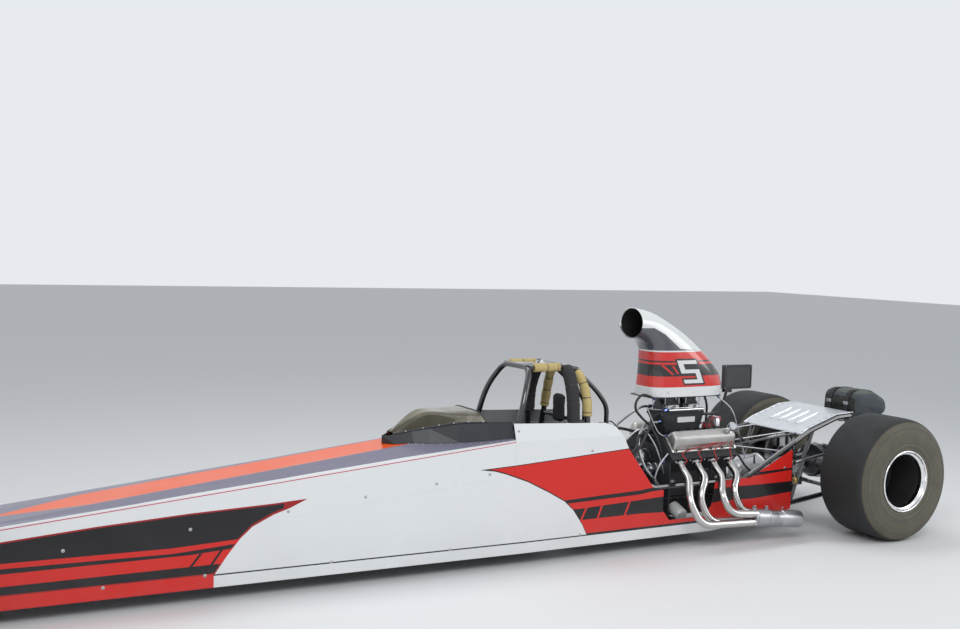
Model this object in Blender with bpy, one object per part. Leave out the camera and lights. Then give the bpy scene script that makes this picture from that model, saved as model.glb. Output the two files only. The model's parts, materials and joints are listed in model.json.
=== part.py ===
"""Rear engined drag racing car with a tall forward facing air scoop.

Lengths are metres. Every piece is laid out by its station: the distance along
the car ahead of the rear axle. Y is the car's left and Z is height over the
road. An empty called car moves the finished layout so that the origin lies
under the middle of the car's length.
"""
import math

import bmesh
import bpy
from mathutils import Matrix, Vector

for old in list(bpy.data.objects):
    bpy.data.objects.remove(old, do_unlink=True)

# Overall layout
WHEELBASE = 6.22
NOSE_REACH = 0.60
TAIL_REACH = 0.60
GAP = 0.0003

# Wheels and tyres
REAR_TYRE_R = 0.434
REAR_TYRE_HALF = 0.217
REAR_WHEEL_Y = 0.655
REAR_RIM_R = 0.2185
FRONT_TYRE_R = 0.28
FRONT_TYRE_HALF = 0.055
FRONT_WHEEL_Y = 0.52
FRONT_RIM_R = 0.215
SHAFT_CLEARANCE = 0.0005

# Body shell
SHEET = 0.004
BODY_HALF_REAR = 0.345
BODY_HALF_FRONT = 0.25
TAPER_FROM = 2.80
TAPER_TO = 6.10
BODY_BOTTOM = 0.087
CREASE_AT_COCKPIT = 0.793
CREASE_STATION = 2.90
CREASE_SLOPE = 0.099
TOP_FLAT_HALF = 0.145
TOP_RISE_AT_COCKPIT = 0.057
TOP_RISE_SLOPE = 0.0183
COVER_SIDE_DROP = 0.215
SHOULDER_FOLD = 0.79
SHOULDER_TOP = 0.898
SHOULDER_LEAN = 0.035
COCKPIT_FRONT = 2.867
LOWER_SEAM = 4.72
UPPER_SEAM = 4.85
NOSE_SEAM = 5.95
PANEL_REAR = 0.57

# Chassis tubes
RAIL_R = 0.019
RAIL_INSET = 0.045
UPPER_RAIL_INSET = 0.06
TUBE_SIDES = 8

# Front axle and steering
KINGPIN_Y = 0.44
AXLE_R = 0.02
STEER_ARM = 0.13
SPINDLE_R = 0.012
STUD_R = 0.005
TIE_ROD_R = 0.009

# Rear axle
HOUSING_R = 0.045
HOUSING_OVERHANG = 0.065
SHAFT_R = 0.019

# Engine
ENGINE_REAR = 1.03
ENGINE_LENGTH = 0.57
CRANK_Z = 0.40
HEADER_R = 0.025
COLLECTOR_R = 0.0625
HEADER_Y = 0.50

# Scoop and parachute
SCOOP_BASE = 0.99
SCOOP_SHEET = 0.005

REAR_FRAME_Y = BODY_HALF_REAR - RAIL_INSET
REAR_UPPER_Y = BODY_HALF_REAR - UPPER_RAIL_INSET
HOUSING_HALF = REAR_FRAME_Y + HOUSING_OVERHANG
MID = (WHEELBASE + NOSE_REACH - TAIL_REACH) / 2
ENGINE_FRONT = ENGINE_REAR + ENGINE_LENGTH
SIDES = {"left": 1, "right": -1}

WHITE = (0.80, 0.83, 0.81)
ORANGE = (1.0, 0.16, 0.02)
BLACK = (0.012, 0.012, 0.014)
DARK = (0.03, 0.032, 0.036)
STEEL = (0.55, 0.56, 0.58)
CHROME = (0.80, 0.80, 0.80)
ALUMINIUM = (0.62, 0.63, 0.64)
RUBBER = (0.02, 0.02, 0.02)
SMOKE = (0.06, 0.055, 0.03)
TAN = (0.50, 0.42, 0.20)
RED = (0.62, 0.02, 0.012)


# Scene helpers

car = bpy.data.objects.new("car", None)
bpy.context.scene.collection.objects.link(car)
car.location.x = -MID


def material(name, color, roughness, metallic=0.0):
    made = bpy.data.materials.get(name)
    if made is None:
        made = bpy.data.materials.new(name)
        made.use_nodes = True
        shader = made.node_tree.nodes["Principled BSDF"]
        shader.inputs["Base Color"].default_value = (*color, 1.0)
        shader.inputs["Roughness"].default_value = roughness
        shader.inputs["Metallic"].default_value = metallic
    return made


def empty(name, place, parent=None):
    pivot = bpy.data.objects.new(name, None)
    bpy.context.scene.collection.objects.link(pivot)
    pivot.parent = parent or car
    pivot.location = place
    return pivot


def add(name, mesh, look=None, parent=None, smooth=None):
    piece = bpy.data.objects.new(name, mesh)
    bpy.context.scene.collection.objects.link(piece)
    piece.parent = parent or car
    if look:
        mesh.materials.append(look)
    if smooth:
        mesh.shade_smooth()
        mesh.set_sharp_from_angle(angle=math.radians(smooth))
    return piece


def mesh_of(bm, name="shape"):
    bmesh.ops.recalc_face_normals(bm, faces=bm.faces)
    mesh = bpy.data.meshes.new(name)
    bm.to_mesh(mesh)
    bm.free()
    return mesh


def hide(piece):
    piece.hide_render = True
    piece.display_type = "WIRE"
    return piece


def cut(piece, cutter, operation="DIFFERENCE"):
    boolean = piece.modifiers.new("cut", "BOOLEAN")
    boolean.operation = operation
    boolean.solver = "EXACT"
    boolean.object = hide(cutter)


def join(piece, others):
    """Boolean union of one piece with the hidden pieces that fuse with it."""
    group = bpy.data.collections.new(piece.name + "_members")
    bpy.context.scene.collection.children.link(group)
    for other in others:
        bpy.context.scene.collection.objects.unlink(other)
        group.objects.link(hide(other))
    union = piece.modifiers.new("weld", "BOOLEAN")
    union.operation = "UNION"
    union.solver = "EXACT"
    union.operand_type = "COLLECTION"
    union.collection = group


# Shape helpers

def box_mesh(low, high):
    bm = bmesh.new()
    bmesh.ops.create_cube(bm, size=1.0)
    size = [high[i] - low[i] for i in range(3)]
    middle = [(high[i] + low[i]) / 2 for i in range(3)]
    bmesh.ops.scale(bm, vec=size, verts=bm.verts)
    bmesh.ops.translate(bm, vec=middle, verts=bm.verts)
    return mesh_of(bm)


def prism_mesh(outline, axis, low, high):
    """Outline points are the two coordinates other than the axis, in order."""
    bm = bmesh.new()
    spots = {"X": lambda a, b: (low, a, b), "Y": lambda a, b: (a, low, b),
             "Z": lambda a, b: (a, b, low)}[axis]
    face = bm.faces.new([bm.verts.new(spots(a, b)) for a, b in outline])
    reach = [0, 0, 0]
    reach["XYZ".index(axis)] = high - low
    grown = bmesh.ops.extrude_face_region(bm, geom=[face])["geom"]
    moved = [v for v in grown if isinstance(v, bmesh.types.BMVert)]
    bmesh.ops.translate(bm, vec=reach, verts=moved)
    return mesh_of(bm)


def lathe_mesh(profile, segments, axis="Y"):
    """Spins (radius, along) points about the axis. The profile closes on itself,
    or on the axis where its first and last radius are zero."""
    bm = bmesh.new()
    rings = []
    for radius, along in profile:
        if radius == 0:
            rings.append([bm.verts.new((0, along, 0))])
            continue
        ring = []
        for step in range(segments):
            angle = 2 * math.pi * step / segments
            ring.append(bm.verts.new((radius * math.cos(angle), along, radius * math.sin(angle))))
        rings.append(ring)
    pairs = list(zip(rings, rings[1:]))
    if profile[0][0] != 0:
        pairs.append((rings[-1], rings[0]))
    for one, two in pairs:
        for step in range(segments):
            nxt = (step + 1) % segments
            corners = [one[step % len(one)], one[nxt % len(one)],
                       two[nxt % len(two)], two[step % len(two)]]
            unique = list(dict.fromkeys(corners))
            if len(unique) > 2:
                bm.faces.new(unique)
    if axis == "X":
        bmesh.ops.rotate(bm, matrix=Matrix.Rotation(-math.pi / 2, 3, "Z"), verts=bm.verts)
    if axis == "Z":
        bmesh.ops.rotate(bm, matrix=Matrix.Rotation(math.pi / 2, 3, "X"), verts=bm.verts)
    return mesh_of(bm)


def moved(mesh, place):
    mesh.transform(Matrix.Translation(place))
    return mesh


def rod_mesh(start, end, radius, sides=TUBE_SIDES):
    run = Vector(end) - Vector(start)
    mesh = lathe_mesh([(0, 0), (radius, 0), (radius, run.length), (0, run.length)], sides)
    turn = Vector((0, 1, 0)).rotation_difference(run)
    mesh.transform(Matrix.Translation(start) @ turn.to_matrix().to_4x4())
    return mesh


def rounded_path(points, bend, steps=3):
    """Replaces each inner corner of a path with an arc of the bend radius."""
    spots = [Vector(p) for p in points]
    path = [spots[0]]
    for before, corner, after in zip(spots, spots[1:], spots[2:]):
        back = (before - corner).normalized()
        ahead = (after - corner).normalized()
        half = back.angle(ahead) / 2
        if half > math.radians(86):
            path.append(corner)
            continue
        room = 0.48 * min((before - corner).length, (after - corner).length)
        trim = min(bend / math.tan(half), room)
        radius = trim * math.tan(half)
        centre = corner + (back + ahead).normalized() * (radius / math.sin(half))
        start = corner + back * trim - centre
        end = corner + ahead * trim - centre
        for step in range(steps + 1):
            path.append(centre + start.normalized().slerp(end.normalized(), step / steps) * radius)
    path.append(spots[-1])
    return path


def tube_mesh(points, radius, bend=0.06, sides=TUBE_SIDES, steps=3):
    """Round tube with closed ends along a path with rounded corners."""
    path = rounded_path(points, bend, steps) if bend else [Vector(p) for p in points]
    bm = bmesh.new()
    heading = (path[1] - path[0]).normalized()
    side = heading.cross(Vector((0, 0, 1)))
    if side.length < 0.05:
        side = Vector((1, 0, 0))
    rings = []
    for i, spot in enumerate(path):
        one = (path[i] - path[i - 1]).normalized() if i else (path[1] - path[0]).normalized()
        two = (path[i + 1] - path[i]).normalized() if i + 1 < len(path) else one
        tangent = (one + two).normalized()
        side = (side - tangent * side.dot(tangent)).normalized()
        other = tangent.cross(side)
        stretch = 1 / max(0.5, one.dot(tangent))
        ring = []
        for step in range(sides):
            angle = 2 * math.pi * step / sides
            offset = side * math.cos(angle) * radius + other * math.sin(angle) * radius
            bend_way = (two - one)
            if bend_way.length > 1e-6:
                bend_way.normalize()
                offset += bend_way * offset.dot(bend_way) * (stretch - 1)
            ring.append(bm.verts.new(spot + offset))
        rings.append(ring)
    for one, two in zip(rings, rings[1:]):
        for step in range(sides):
            nxt = (step + 1) % sides
            bm.faces.new((one[step], one[nxt], two[nxt], two[step]))
    bm.faces.new(rings[0])
    bm.faces.new(list(reversed(rings[-1])))
    return mesh_of(bm)


def sheet_mesh(rows):
    """Open surface through rows of points, each row as long as the next."""
    bm = bmesh.new()
    grid = [[bm.verts.new(p) for p in row] for row in rows]
    for one, two in zip(grid, grid[1:]):
        for i in range(len(one) - 1):
            bm.faces.new((one[i], one[i + 1], two[i + 1], two[i]))
    mesh = bpy.data.meshes.new("sheet")
    bm.to_mesh(mesh)
    bm.free()
    return mesh


def thicken(piece, thickness, offset=-1.0):
    solid = piece.modifiers.new("sheet", "SOLIDIFY")
    solid.thickness = thickness
    solid.offset = offset
    solid.use_even_offset = True


def round_edges(piece, width, segments=2, angle=40):
    bevel = piece.modifiers.new("edges", "BEVEL")
    bevel.width = width
    bevel.segments = segments
    bevel.limit_method = "ANGLE"
    bevel.angle_limit = math.radians(angle)


def offset_line(points, distance):
    """Line of (station, height) points moved up square to itself, with mitred corners."""
    line = []
    for i, (x, z) in enumerate(points):
        runs = [Vector((points[k][0] - points[k + 1][0], points[k][1] - points[k + 1][1]))
                for k in (i - 1, i) if 0 <= k < len(points) - 1]
        ways = [Vector((-run.y, run.x)).normalized() for run in runs]
        way = sum(ways, Vector((0, 0))).normalized()
        line.append((x + way.x * distance / way.dot(ways[0]), z + way.y * distance / way.dot(ways[0])))
    return line


# Body sections

def half_width(x):
    share = min(max((x - TAPER_FROM) / (TAPER_TO - TAPER_FROM), 0), 1.2)
    return BODY_HALF_REAR + (BODY_HALF_FRONT - BODY_HALF_REAR) * share


def crease(x):
    return CREASE_AT_COCKPIT - CREASE_SLOPE * (x - CREASE_STATION)


def top_rise(x):
    return TOP_RISE_AT_COCKPIT - TOP_RISE_SLOPE * (x - CREASE_STATION)


def joint_line(x):
    return crease(x) - COVER_SIDE_DROP


def cover_top(x, y):
    """Height of the top cover's outer face at a station and a distance out."""
    flat = min(TOP_FLAT_HALF, half_width(x) - 0.05)
    if abs(y) <= flat:
        return crease(x) + top_rise(x)
    share = (half_width(x) - abs(y)) / (half_width(x) - flat)
    return crease(x) + top_rise(x) * share


def side_y(x, z):
    lean = max(z - SHOULDER_FOLD, 0) / (SHOULDER_TOP - SHOULDER_FOLD)
    return half_width(x) - SHOULDER_LEAN * lean * (x < COCKPIT_FRONT + 0.01)


paint_white = material("white_paint", WHITE, 0.18)
paint_orange = material("orange_paint", ORANGE, 0.2)
paint_black = material("black_paint", BLACK, 0.25)
satin_black = material("satin_black", DARK, 0.5)
bare_steel = material("steel", STEEL, 0.35, 1.0)
chrome = material("chrome", CHROME, 0.08, 1.0)
aluminium = material("aluminium", ALUMINIUM, 0.3, 1.0)
rubber = material("rubber", RUBBER, 0.75)
smoked = material("smoked_screen", SMOKE, 0.08)
foam = material("tan_foam", TAN, 0.8)
cloth = material("black_cloth", BLACK, 0.9)
red_paint = material("red_paint", RED, 0.25)


# Side panels, each cut from flat sheet to an outline of (station, height)

def side_sheet(name, outline, side):
    bm = bmesh.new()
    bm.faces.new([bm.verts.new((x, 0, z)) for x, z in outline])
    for spot, normal in (((TAPER_FROM, 0, 0), (1, 0, 0)), ((0, 0, SHOULDER_FOLD), (0, 0, 1))):
        parts = bm.faces[:] + bm.edges[:] + bm.verts[:]
        bmesh.ops.bisect_plane(bm, geom=parts, plane_co=spot, plane_no=normal)
    for v in bm.verts:
        v.co.y = side * side_y(v.co.x, v.co.z)
    bm.normal_update()
    if (bm.faces[:][0].normal.y > 0) != (side > 0):
        bmesh.ops.reverse_faces(bm, faces=bm.faces)
    mesh = bpy.data.meshes.new(name)
    bm.to_mesh(mesh)
    bm.free()
    panel = add(name, mesh, paint_white)
    thicken(panel, SHEET)
    return panel


SIDE_REAR_EDGE = [
    (2.190, 0.872), (2.110, 0.845), (2.055, 0.780), (2.008, 0.691), (1.802, 0.426),
    (1.713, 0.400), (1.713, 0.262), (1.660, 0.193), (1.360, 0.193), (1.300, 0.262),
    (1.270, 0.430), (0.952, 0.430), (0.582, 0.600), (PANEL_REAR, 0.600),
    (PANEL_REAR, 0.178), (1.110, 0.105), (1.300, BODY_BOTTOM),
]

for word, side in SIDES.items():
    side_sheet("side_panel_" + word, [
        (LOWER_SEAM, BODY_BOTTOM), (LOWER_SEAM, joint_line(LOWER_SEAM) - GAP),
        (COCKPIT_FRONT, joint_line(COCKPIT_FRONT) - GAP), (COCKPIT_FRONT, SHOULDER_TOP),
        *SIDE_REAR_EDGE], side)
    rear, front = LOWER_SEAM + GAP, NOSE_SEAM - GAP
    side_sheet("nose_panel_" + word, [
        (front, BODY_BOTTOM), (front, joint_line(front) - GAP),
        (rear, joint_line(rear) - GAP), (rear, BODY_BOTTOM)], side)

# Belly pan between the side panels

pan_half = [(x, half_width(x) - SHEET - GAP) for x in (1.30, TAPER_FROM, NOSE_SEAM - GAP)]
pan_outline = pan_half + [(x, -y) for x, y in reversed(pan_half)]
belly = prism_mesh(pan_outline, "Z", BODY_BOTTOM, BODY_BOTTOM + SHEET)
add("belly_pan", belly, satin_black)
FLOOR = BODY_BOTTOM + SHEET + GAP


# Top covers, folded along the crease and along the flat top

def cover_rows(stations):
    rows = []
    for x in stations:
        wide = half_width(x)
        flat = min(TOP_FLAT_HALF, wide - 0.05)
        half = [(x, wide, joint_line(x)), (x, wide, crease(x)), (x, flat, crease(x) + top_rise(x))]
        rows.append(half + [(x, -y, z) for x, y, z in reversed(half)])
    return rows


nose_cover = add("nose_cover", sheet_mesh(cover_rows((UPPER_SEAM + GAP, NOSE_SEAM - GAP))),
                 paint_white)
thicken(nose_cover, SHEET)
COVER_STATIONS = (COCKPIT_FRONT + 0.0008, 3.03, 3.21, 3.38, 3.47, 3.62, 4.20, UPPER_SEAM)
top_cover = add("top_cover", sheet_mesh(cover_rows(COVER_STATIONS)), paint_white)
thicken(top_cover, SHEET)

# Cowl line: station, distance out at the foot, and distance out and height at the top
COWL_TABLE = [
    # station, foot's inset from the body's side, top_y, top_z
    (3.575, 0.2377, 0.040, 0.822),
    (3.470, 0.1807, 0.105, 0.850),
    (3.380, 0.1383, 0.150, 0.872),
    (3.210, 0.0882, 0.220, 0.902),
    (3.030, 0.0484, 0.262, 0.905),
    (COCKPIT_FRONT + 0.002, 0.0310, 0.290, 0.904),
]
COWL = [(x, half_width(x) - inset, top_y, top_z) for x, inset, top_y, top_z in COWL_TABLE]
COWL_TIP = (3.62, 0.0, 0.815)
HOLE_INSET = 0.018

hole_half = [(3.50, 0.095)] + [(x, foot - HOLE_INSET) for x, foot, _, _ in COWL[2:]]
hole_half[-1] = (COCKPIT_FRONT - 0.05, hole_half[-1][1])
hole = prism_mesh(hole_half + [(x, -y) for x, y in reversed(hole_half)], "Z", 0.5, 1.0)
cut(top_cover, add("cockpit_hole", hole))


def cowl_pair(x, foot, top, height, side):
    base = cover_top(x, foot - SHEET)
    lean = (foot - top) / (height - base)
    base += SHEET * lean / math.hypot(1, lean) + 3 * GAP
    return [(x, side * foot, base), (x, side * top, height)]


tip_pair = [(COWL_TIP[0], 0, cover_top(COWL_TIP[0], 0) + SHEET * 0.6), COWL_TIP]
cowl_rows = [cowl_pair(*row, 1) for row in reversed(COWL)] + [tip_pair]
cowl_rows += [cowl_pair(*row, -1) for row in COWL]
cowl = add("cowl", sheet_mesh(cowl_rows), paint_black)
thicken(cowl, SHEET)

# Wrap round screen standing on the cowl's top edge
SCREEN = [
    # station, base_y, base_z, top_y, top_z
    (3.560, 0.044, 0.8278, 0.022, 0.8338),
    (3.380, 0.148, 0.8743, 0.085, 0.944),
    (3.210, 0.218, 0.9043, 0.130, 0.950),
    (3.030, 0.260, 0.9073, 0.150, 0.952),
]
screen_rows = []
for x, base_y, base_z, top_y, top_z in SCREEN:
    half = [(x, base_y, base_z), (x, top_y, top_z), (x, 0, top_z + 0.006)]
    screen_rows.append(half + [(x, -y, z) for x, y, z in reversed(half[:2])])
screen = add("windscreen", sheet_mesh(screen_rows), smoked)
thicken(screen, 0.003, 1.0)

# Nose cone, closed at its tip and open at its rear
NOSE = [
    # station, half_width, bottom, crease, top, flat_half
    (NOSE_SEAM, half_width(NOSE_SEAM), BODY_BOTTOM, crease(NOSE_SEAM),
     crease(NOSE_SEAM) + top_rise(NOSE_SEAM), TOP_FLAT_HALF),
    (WHEELBASE + 0.03, 0.246, BODY_BOTTOM, 0.461, 0.466, 0.13),
    (WHEELBASE + 0.25, 0.222, 0.092, 0.395, 0.402, 0.11),
    (WHEELBASE + 0.43, 0.185, 0.100, 0.300, 0.306, 0.085),
    (WHEELBASE + 0.55, 0.140, 0.112, 0.222, 0.228, 0.06),
    (WHEELBASE + NOSE_REACH, 0.095, 0.135, 0.172, 0.176, 0.04),
]
nose_rows = []
for x, wide, low, fold, top, flat in NOSE:
    half = [(x, 0, low), (x, wide, low), (x, wide, fold), (x, flat, top)]
    nose_rows.append(half + [(x, -y, z) for x, y, z in reversed(half[1:])] + [half[0]])
bm = bmesh.new()
loops = [[bm.verts.new(p) for p in row[:-1]] for row in nose_rows]
for one, two in zip(loops, loops[1:]):
    for i in range(len(one)):
        j = (i + 1) % len(one)
        bm.faces.new((one[i], one[j], two[j], two[i]))
bm.faces.new(loops[-1])
nose = add("nose_cone", mesh_of(bm), paint_white)
thicken(nose, SHEET)
FRONT_AXLE_Z = FRONT_TYRE_R
TIE_ROD_Z = FRONT_AXLE_Z + 0.0223
ARM_X = WHEELBASE - STEER_ARM
axle_hole = rod_mesh((WHEELBASE, -0.4, FRONT_AXLE_Z), (WHEELBASE, 0.4, FRONT_AXLE_Z),
                     AXLE_R + 0.0008, 16)
cut(nose, add("axle_hole", axle_hole))
rod_hole = rod_mesh((ARM_X, -0.4, TIE_ROD_Z), (ARM_X, 0.4, TIE_ROD_Z), TIE_ROD_R + 0.013, 12)
cut(nose, add("tie_rod_hole", rod_hole))


# Chassis: rails and cross tubes welded into one frame

def rail_y(x):
    return half_width(x) - RAIL_INSET


def upper_y(x):
    return half_width(x) - UPPER_RAIL_INSET


LOWER_Z = FLOOR + RAIL_R
POST_Y = 0.21
POST_TOP = FRONT_AXLE_Z + AXLE_R + GAP
UPPER_Z = 0.41
DECK_RAIL = [(0.952, 0.426), (0.373, 0.719), (0.111, 0.804), (-0.06, 0.815)]
lower_rail = [
    (WHEELBASE + 0.02, POST_Y, LOWER_Z), (TAPER_FROM, rail_y(TAPER_FROM), LOWER_Z),
    (1.25, REAR_FRAME_Y, LOWER_Z), (0.60, REAR_FRAME_Y, 0.20), (0.0, REAR_FRAME_Y, 0.27),
]


def upper_rail_z(x):
    return crease(x) - 0.032


upper_rail = [
    (WHEELBASE, POST_Y, 0.40), (WHEELBASE - 0.12, upper_y(6.10), upper_rail_z(6.10)),
    (CREASE_STATION, upper_y(CREASE_STATION), upper_rail_z(CREASE_STATION)),
    (2.35, REAR_UPPER_Y, 0.770), (2.05, REAR_UPPER_Y, 0.640), (1.80, REAR_UPPER_Y, UPPER_Z),
    (1.10, REAR_UPPER_Y, UPPER_Z),
] + [(x, REAR_FRAME_Y, z) for x, z in DECK_RAIL]


def at(path, x):
    """Point of a rail's path at a station."""
    for one, two in zip(path, path[1:]):
        low, high = sorted((one[0], two[0]))
        if low <= x <= high and low != high:
            share = (x - one[0]) / (two[0] - one[0])
            return tuple(one[i] + (two[i] - one[i]) * share for i in range(3))
    return path[-1]


def mirrored(points, side):
    return [(x, side * y, z) for x, y, z in points]


AXLE_Z = REAR_TYRE_R
ROD_X = PANEL_REAR - 0.028
FRAME_SPLIT = 2.75
UPRIGHT_R = RAIL_R * 0.85
TAIL_CROSS_X = -0.03


def part_of(path, low, high):
    """The stretch of a rail's path between two stations."""
    inner = [p for p in path if low < p[0] < high]
    return [at(path, high)] + inner + [at(path, low)]


front_low = part_of(lower_rail, FRAME_SPLIT + GAP, WHEELBASE + 0.02)
rear_low = part_of(lower_rail, 0.0, FRAME_SPLIT)
front_high = part_of(upper_rail, FRAME_SPLIT + GAP, WHEELBASE)
rear_high = part_of(upper_rail, TAIL_CROSS_X + 0.001, FRAME_SPLIT)
FRONT_UPRIGHTS = (4.30, FRAME_SPLIT + 0.08)
REAR_UPRIGHTS = (2.05, ROD_X)
for word, side in SIDES.items():
    front = [rod_mesh(*mirrored((at(lower_rail, x), at(upper_rail, x)), side), UPRIGHT_R, 6)
             for x in FRONT_UPRIGHTS]
    front += [tube_mesh(mirrored(front_high, side), RAIL_R, 0.12, steps=1)]
    for start, end in (
            (at(lower_rail, WHEELBASE), (WHEELBASE, POST_Y, FRONT_AXLE_Z - AXLE_R - GAP)),
            ((WHEELBASE, POST_Y, 0.41), (WHEELBASE, POST_Y, POST_TOP))):
        front.append(rod_mesh(*mirrored((start, end), side), UPRIGHT_R, 6))
    rear = [rod_mesh(*mirrored((at(lower_rail, x), at(upper_rail, x)), side), UPRIGHT_R, 6)
            for x in REAR_UPRIGHTS]
    rear += [tube_mesh(mirrored(rear_high, side), RAIL_R, 0.12, steps=1)]
    for start, end in (
            ((1.02, REAR_FRAME_Y, 0.40), at(lower_rail, ROD_X)),
            (at(lower_rail, ROD_X), at(upper_rail, 0.34)),
            (at(upper_rail, 0.0), (0, REAR_FRAME_Y, AXLE_Z + HOUSING_R + GAP)),
            ((0.004, REAR_FRAME_Y, 0.265), (0.004, REAR_FRAME_Y, AXLE_Z - HOUSING_R - GAP))):
        rear.append(rod_mesh(*mirrored((start, end), side), UPRIGHT_R, 6))
    if side > 0:
        for pieces, (x, y, z) in (
                (front, at(lower_rail, FRONT_UPRIGHTS[0])), (front, at(upper_rail, FRONT_UPRIGHTS[0])),
                (front, at(lower_rail, FRONT_UPRIGHTS[1])), (rear, at(lower_rail, 2.05)),
                (rear, at(upper_rail, 2.05)), (rear, at(lower_rail, 0.03))):
            pieces.append(rod_mesh((x, -(y - RAIL_R - 3 * GAP), z), (x, y, z), UPRIGHT_R, 6))
    low_front = tube_mesh(mirrored(front_low, side), RAIL_R, 0.15, steps=1)
    low_rear = tube_mesh(mirrored(rear_low, side), RAIL_R, 0.15, steps=1)
    half_frame = add("frame_front_" + word, low_front, satin_black)
    join(half_frame, [add("front_member", mesh) for mesh in front])
    half_frame = add("frame_rear_" + word, low_rear, satin_black)
    join(half_frame, [add("rear_member", mesh) for mesh in rear])

# Tail cross tube with the pack's tray on two arms
PACK_FRONT = -0.20
PACK_FLOOR = 0.765
tail = at(upper_rail, TAIL_CROSS_X)
tray_parts = []
for side in (1, -1):
    tray_parts.append(tube_mesh([(TAIL_CROSS_X, side * 0.11, 0.812), (-0.12, side * 0.11, 0.750),
                                 (-0.52, side * 0.11, 0.750)], 0.011, 0.03, 6))
tray_parts.append(box_mesh((-0.54, -0.15, PACK_FLOOR - GAP - 0.006),
                           (PACK_FRONT + 0.02, 0.15, PACK_FLOOR - GAP)))
tail_x = TAIL_CROSS_X + 0.0005 - RAIL_R * 0.95
tail_tube = rod_mesh((tail_x, -REAR_FRAME_Y - RAIL_R, tail[2]), (tail_x, REAR_FRAME_Y + RAIL_R, tail[2]),
                     RAIL_R * 0.95)
tray = add("pack_tray", tail_tube, satin_black)
join(tray, [add("tray_part", mesh) for mesh in tray_parts])

# Roll cage standing on the upper rails
CAGE_R = 0.019
CAGE_BEND = 0.12
HOOPS = [
    # foot station, foot_y, shoulder station, shoulder_y, shoulder_z, top station, top_y, top_z
    (2.830, REAR_UPPER_Y - 0.009, 2.760, REAR_UPPER_Y - 0.035, 1.060, 2.680, 0.165, 1.222),
    (2.410, REAR_UPPER_Y, 2.410, REAR_UPPER_Y - 0.017, 1.060, 2.400, 0.175, 1.222),
    (2.300, REAR_UPPER_Y, 2.285, REAR_UPPER_Y - 0.045, 1.060, 2.315, 0.150, 1.205),
]
cage_parts = []


def foot_height(x, lean):
    """Height of a leaning tube's foot so that its low edge meets the rail's crest."""
    ahead = at(upper_rail, x + CAGE_R)[2]
    behind = at(upper_rail, x - CAGE_R)[2]
    slope = (ahead - behind) / (2 * CAGE_R)
    return max(ahead, behind) + RAIL_R * math.hypot(1, slope) + CAGE_R * abs(lean) + GAP


for foot_x, foot_y, mid_x, mid_y, mid_z, top_x, top_y, top_z in HOOPS:
    foot_z = foot_height(foot_x, (mid_x - foot_x) / (mid_z - 0.77))
    half = [(foot_x, foot_y, foot_z), (mid_x, mid_y, mid_z), (top_x, top_y, top_z)]
    path = half + mirrored(reversed(half), -1)
    cage_parts.append(tube_mesh(path, CAGE_R, CAGE_BEND, steps=1))
    hoop_leg = rounded_path(path, CAGE_BEND, 1)
BRACE_Y = 0.13
CROSS_Z = at(upper_rail, 2.05)[2]
for side in (1, -1):
    tops = [(top_x, side * 0.15, top_z) for *_, top_x, _, top_z in HOOPS]
    cage_parts.append(rod_mesh(tops[0], tops[1], CAGE_R * 0.9))
    cage_parts.append(rod_mesh(tops[1], (2.300, side * 0.15, 1.205), CAGE_R * 0.9))
    cage_parts.append(tube_mesh([(2.315, side * BRACE_Y, 1.203), (2.14, side * BRACE_Y, 1.06),
                                 (2.05, side * BRACE_Y, 0.95),
                                 (2.05, side * BRACE_Y, CROSS_Z + RAIL_R * 0.85 + GAP)], 0.016, 0.05))
CROSS_HALF = REAR_UPPER_Y - 0.017
cage_parts.append(rod_mesh((2.2945, -CROSS_HALF, 0.865), (2.2945, CROSS_HALF, 0.865), 0.014))
cage_parts.append(prism_mesh([(2.40, -0.15), (2.69, -0.15), (2.69, 0.15), (2.40, 0.15)],
                             "Z", 1.233, 1.2385))
cage = add("roll_cage", cage_parts[0], paint_black)
join(cage, [add("cage_member", mesh) for mesh in cage_parts[1:]])

# Foam sleeves round the rear hoop's legs
SLEEVE_R = 0.031
SLEEVE_FROM, SLEEVE_TO = 0.90, 1.165
sleeve_path = [p for p in hoop_leg if p.y > 0 and p.z < SLEEVE_TO]
share = (SLEEVE_FROM - sleeve_path[0].z) / (sleeve_path[1].z - sleeve_path[0].z)
sleeve_path[0] = sleeve_path[0].lerp(sleeve_path[1], share)
for word, side in SIDES.items():
    path = mirrored(sleeve_path, side)
    sleeve = tube_mesh(path, SLEEVE_R, 0)
    pad = add("cage_pad_" + word, sleeve, foam)
    cut(pad, add("pad_bore", tube_mesh(hoop_leg, CAGE_R + GAP / math.cos(math.pi / 8), 0)))

# Head pad in front of the cage's cross tube
HEAD_X = 2.2945 + 0.014 + GAP
head = add("head_pad", box_mesh((HEAD_X, -0.055, 0.835), (HEAD_X + 0.07, 0.055, 1.035)), cloth)
round_edges(head, 0.02)

# Seat shell, reclined, standing on the belly pan
SEAT = [
    # station, height, wing height
    (2.780, 0.250, 0.02), (2.680, 0.150, 0.07), (2.560, FLOOR, 0.10), (2.330, FLOOR, 0.12),
    (2.220, 0.170, 0.14), (2.140, 0.450, 0.14), (2.110, 0.780, 0.05),
]
SEAT_HALF = REAR_FRAME_Y - 0.085
seat_rows = []
for i, (x, z, wing) in enumerate(SEAT):
    before = SEAT[max(i - 1, 0)]
    after = SEAT[min(i + 1, len(SEAT) - 1)]
    run = Vector((after[0] - before[0], 0, after[1] - before[1])).normalized()
    up = Vector((run.z, 0, -run.x))
    if up.x + up.z < 0:
        up = -up
    row = []
    for y, lift in ((-SEAT_HALF - 0.015, wing), (-SEAT_HALF, 0.02), (-SEAT_HALF + 0.03, 0),
                    (SEAT_HALF - 0.03, 0), (SEAT_HALF, 0.02), (SEAT_HALF + 0.015, wing)):
        row.append(Vector((x, y, z)) + up * lift)
    seat_rows.append(row)
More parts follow.
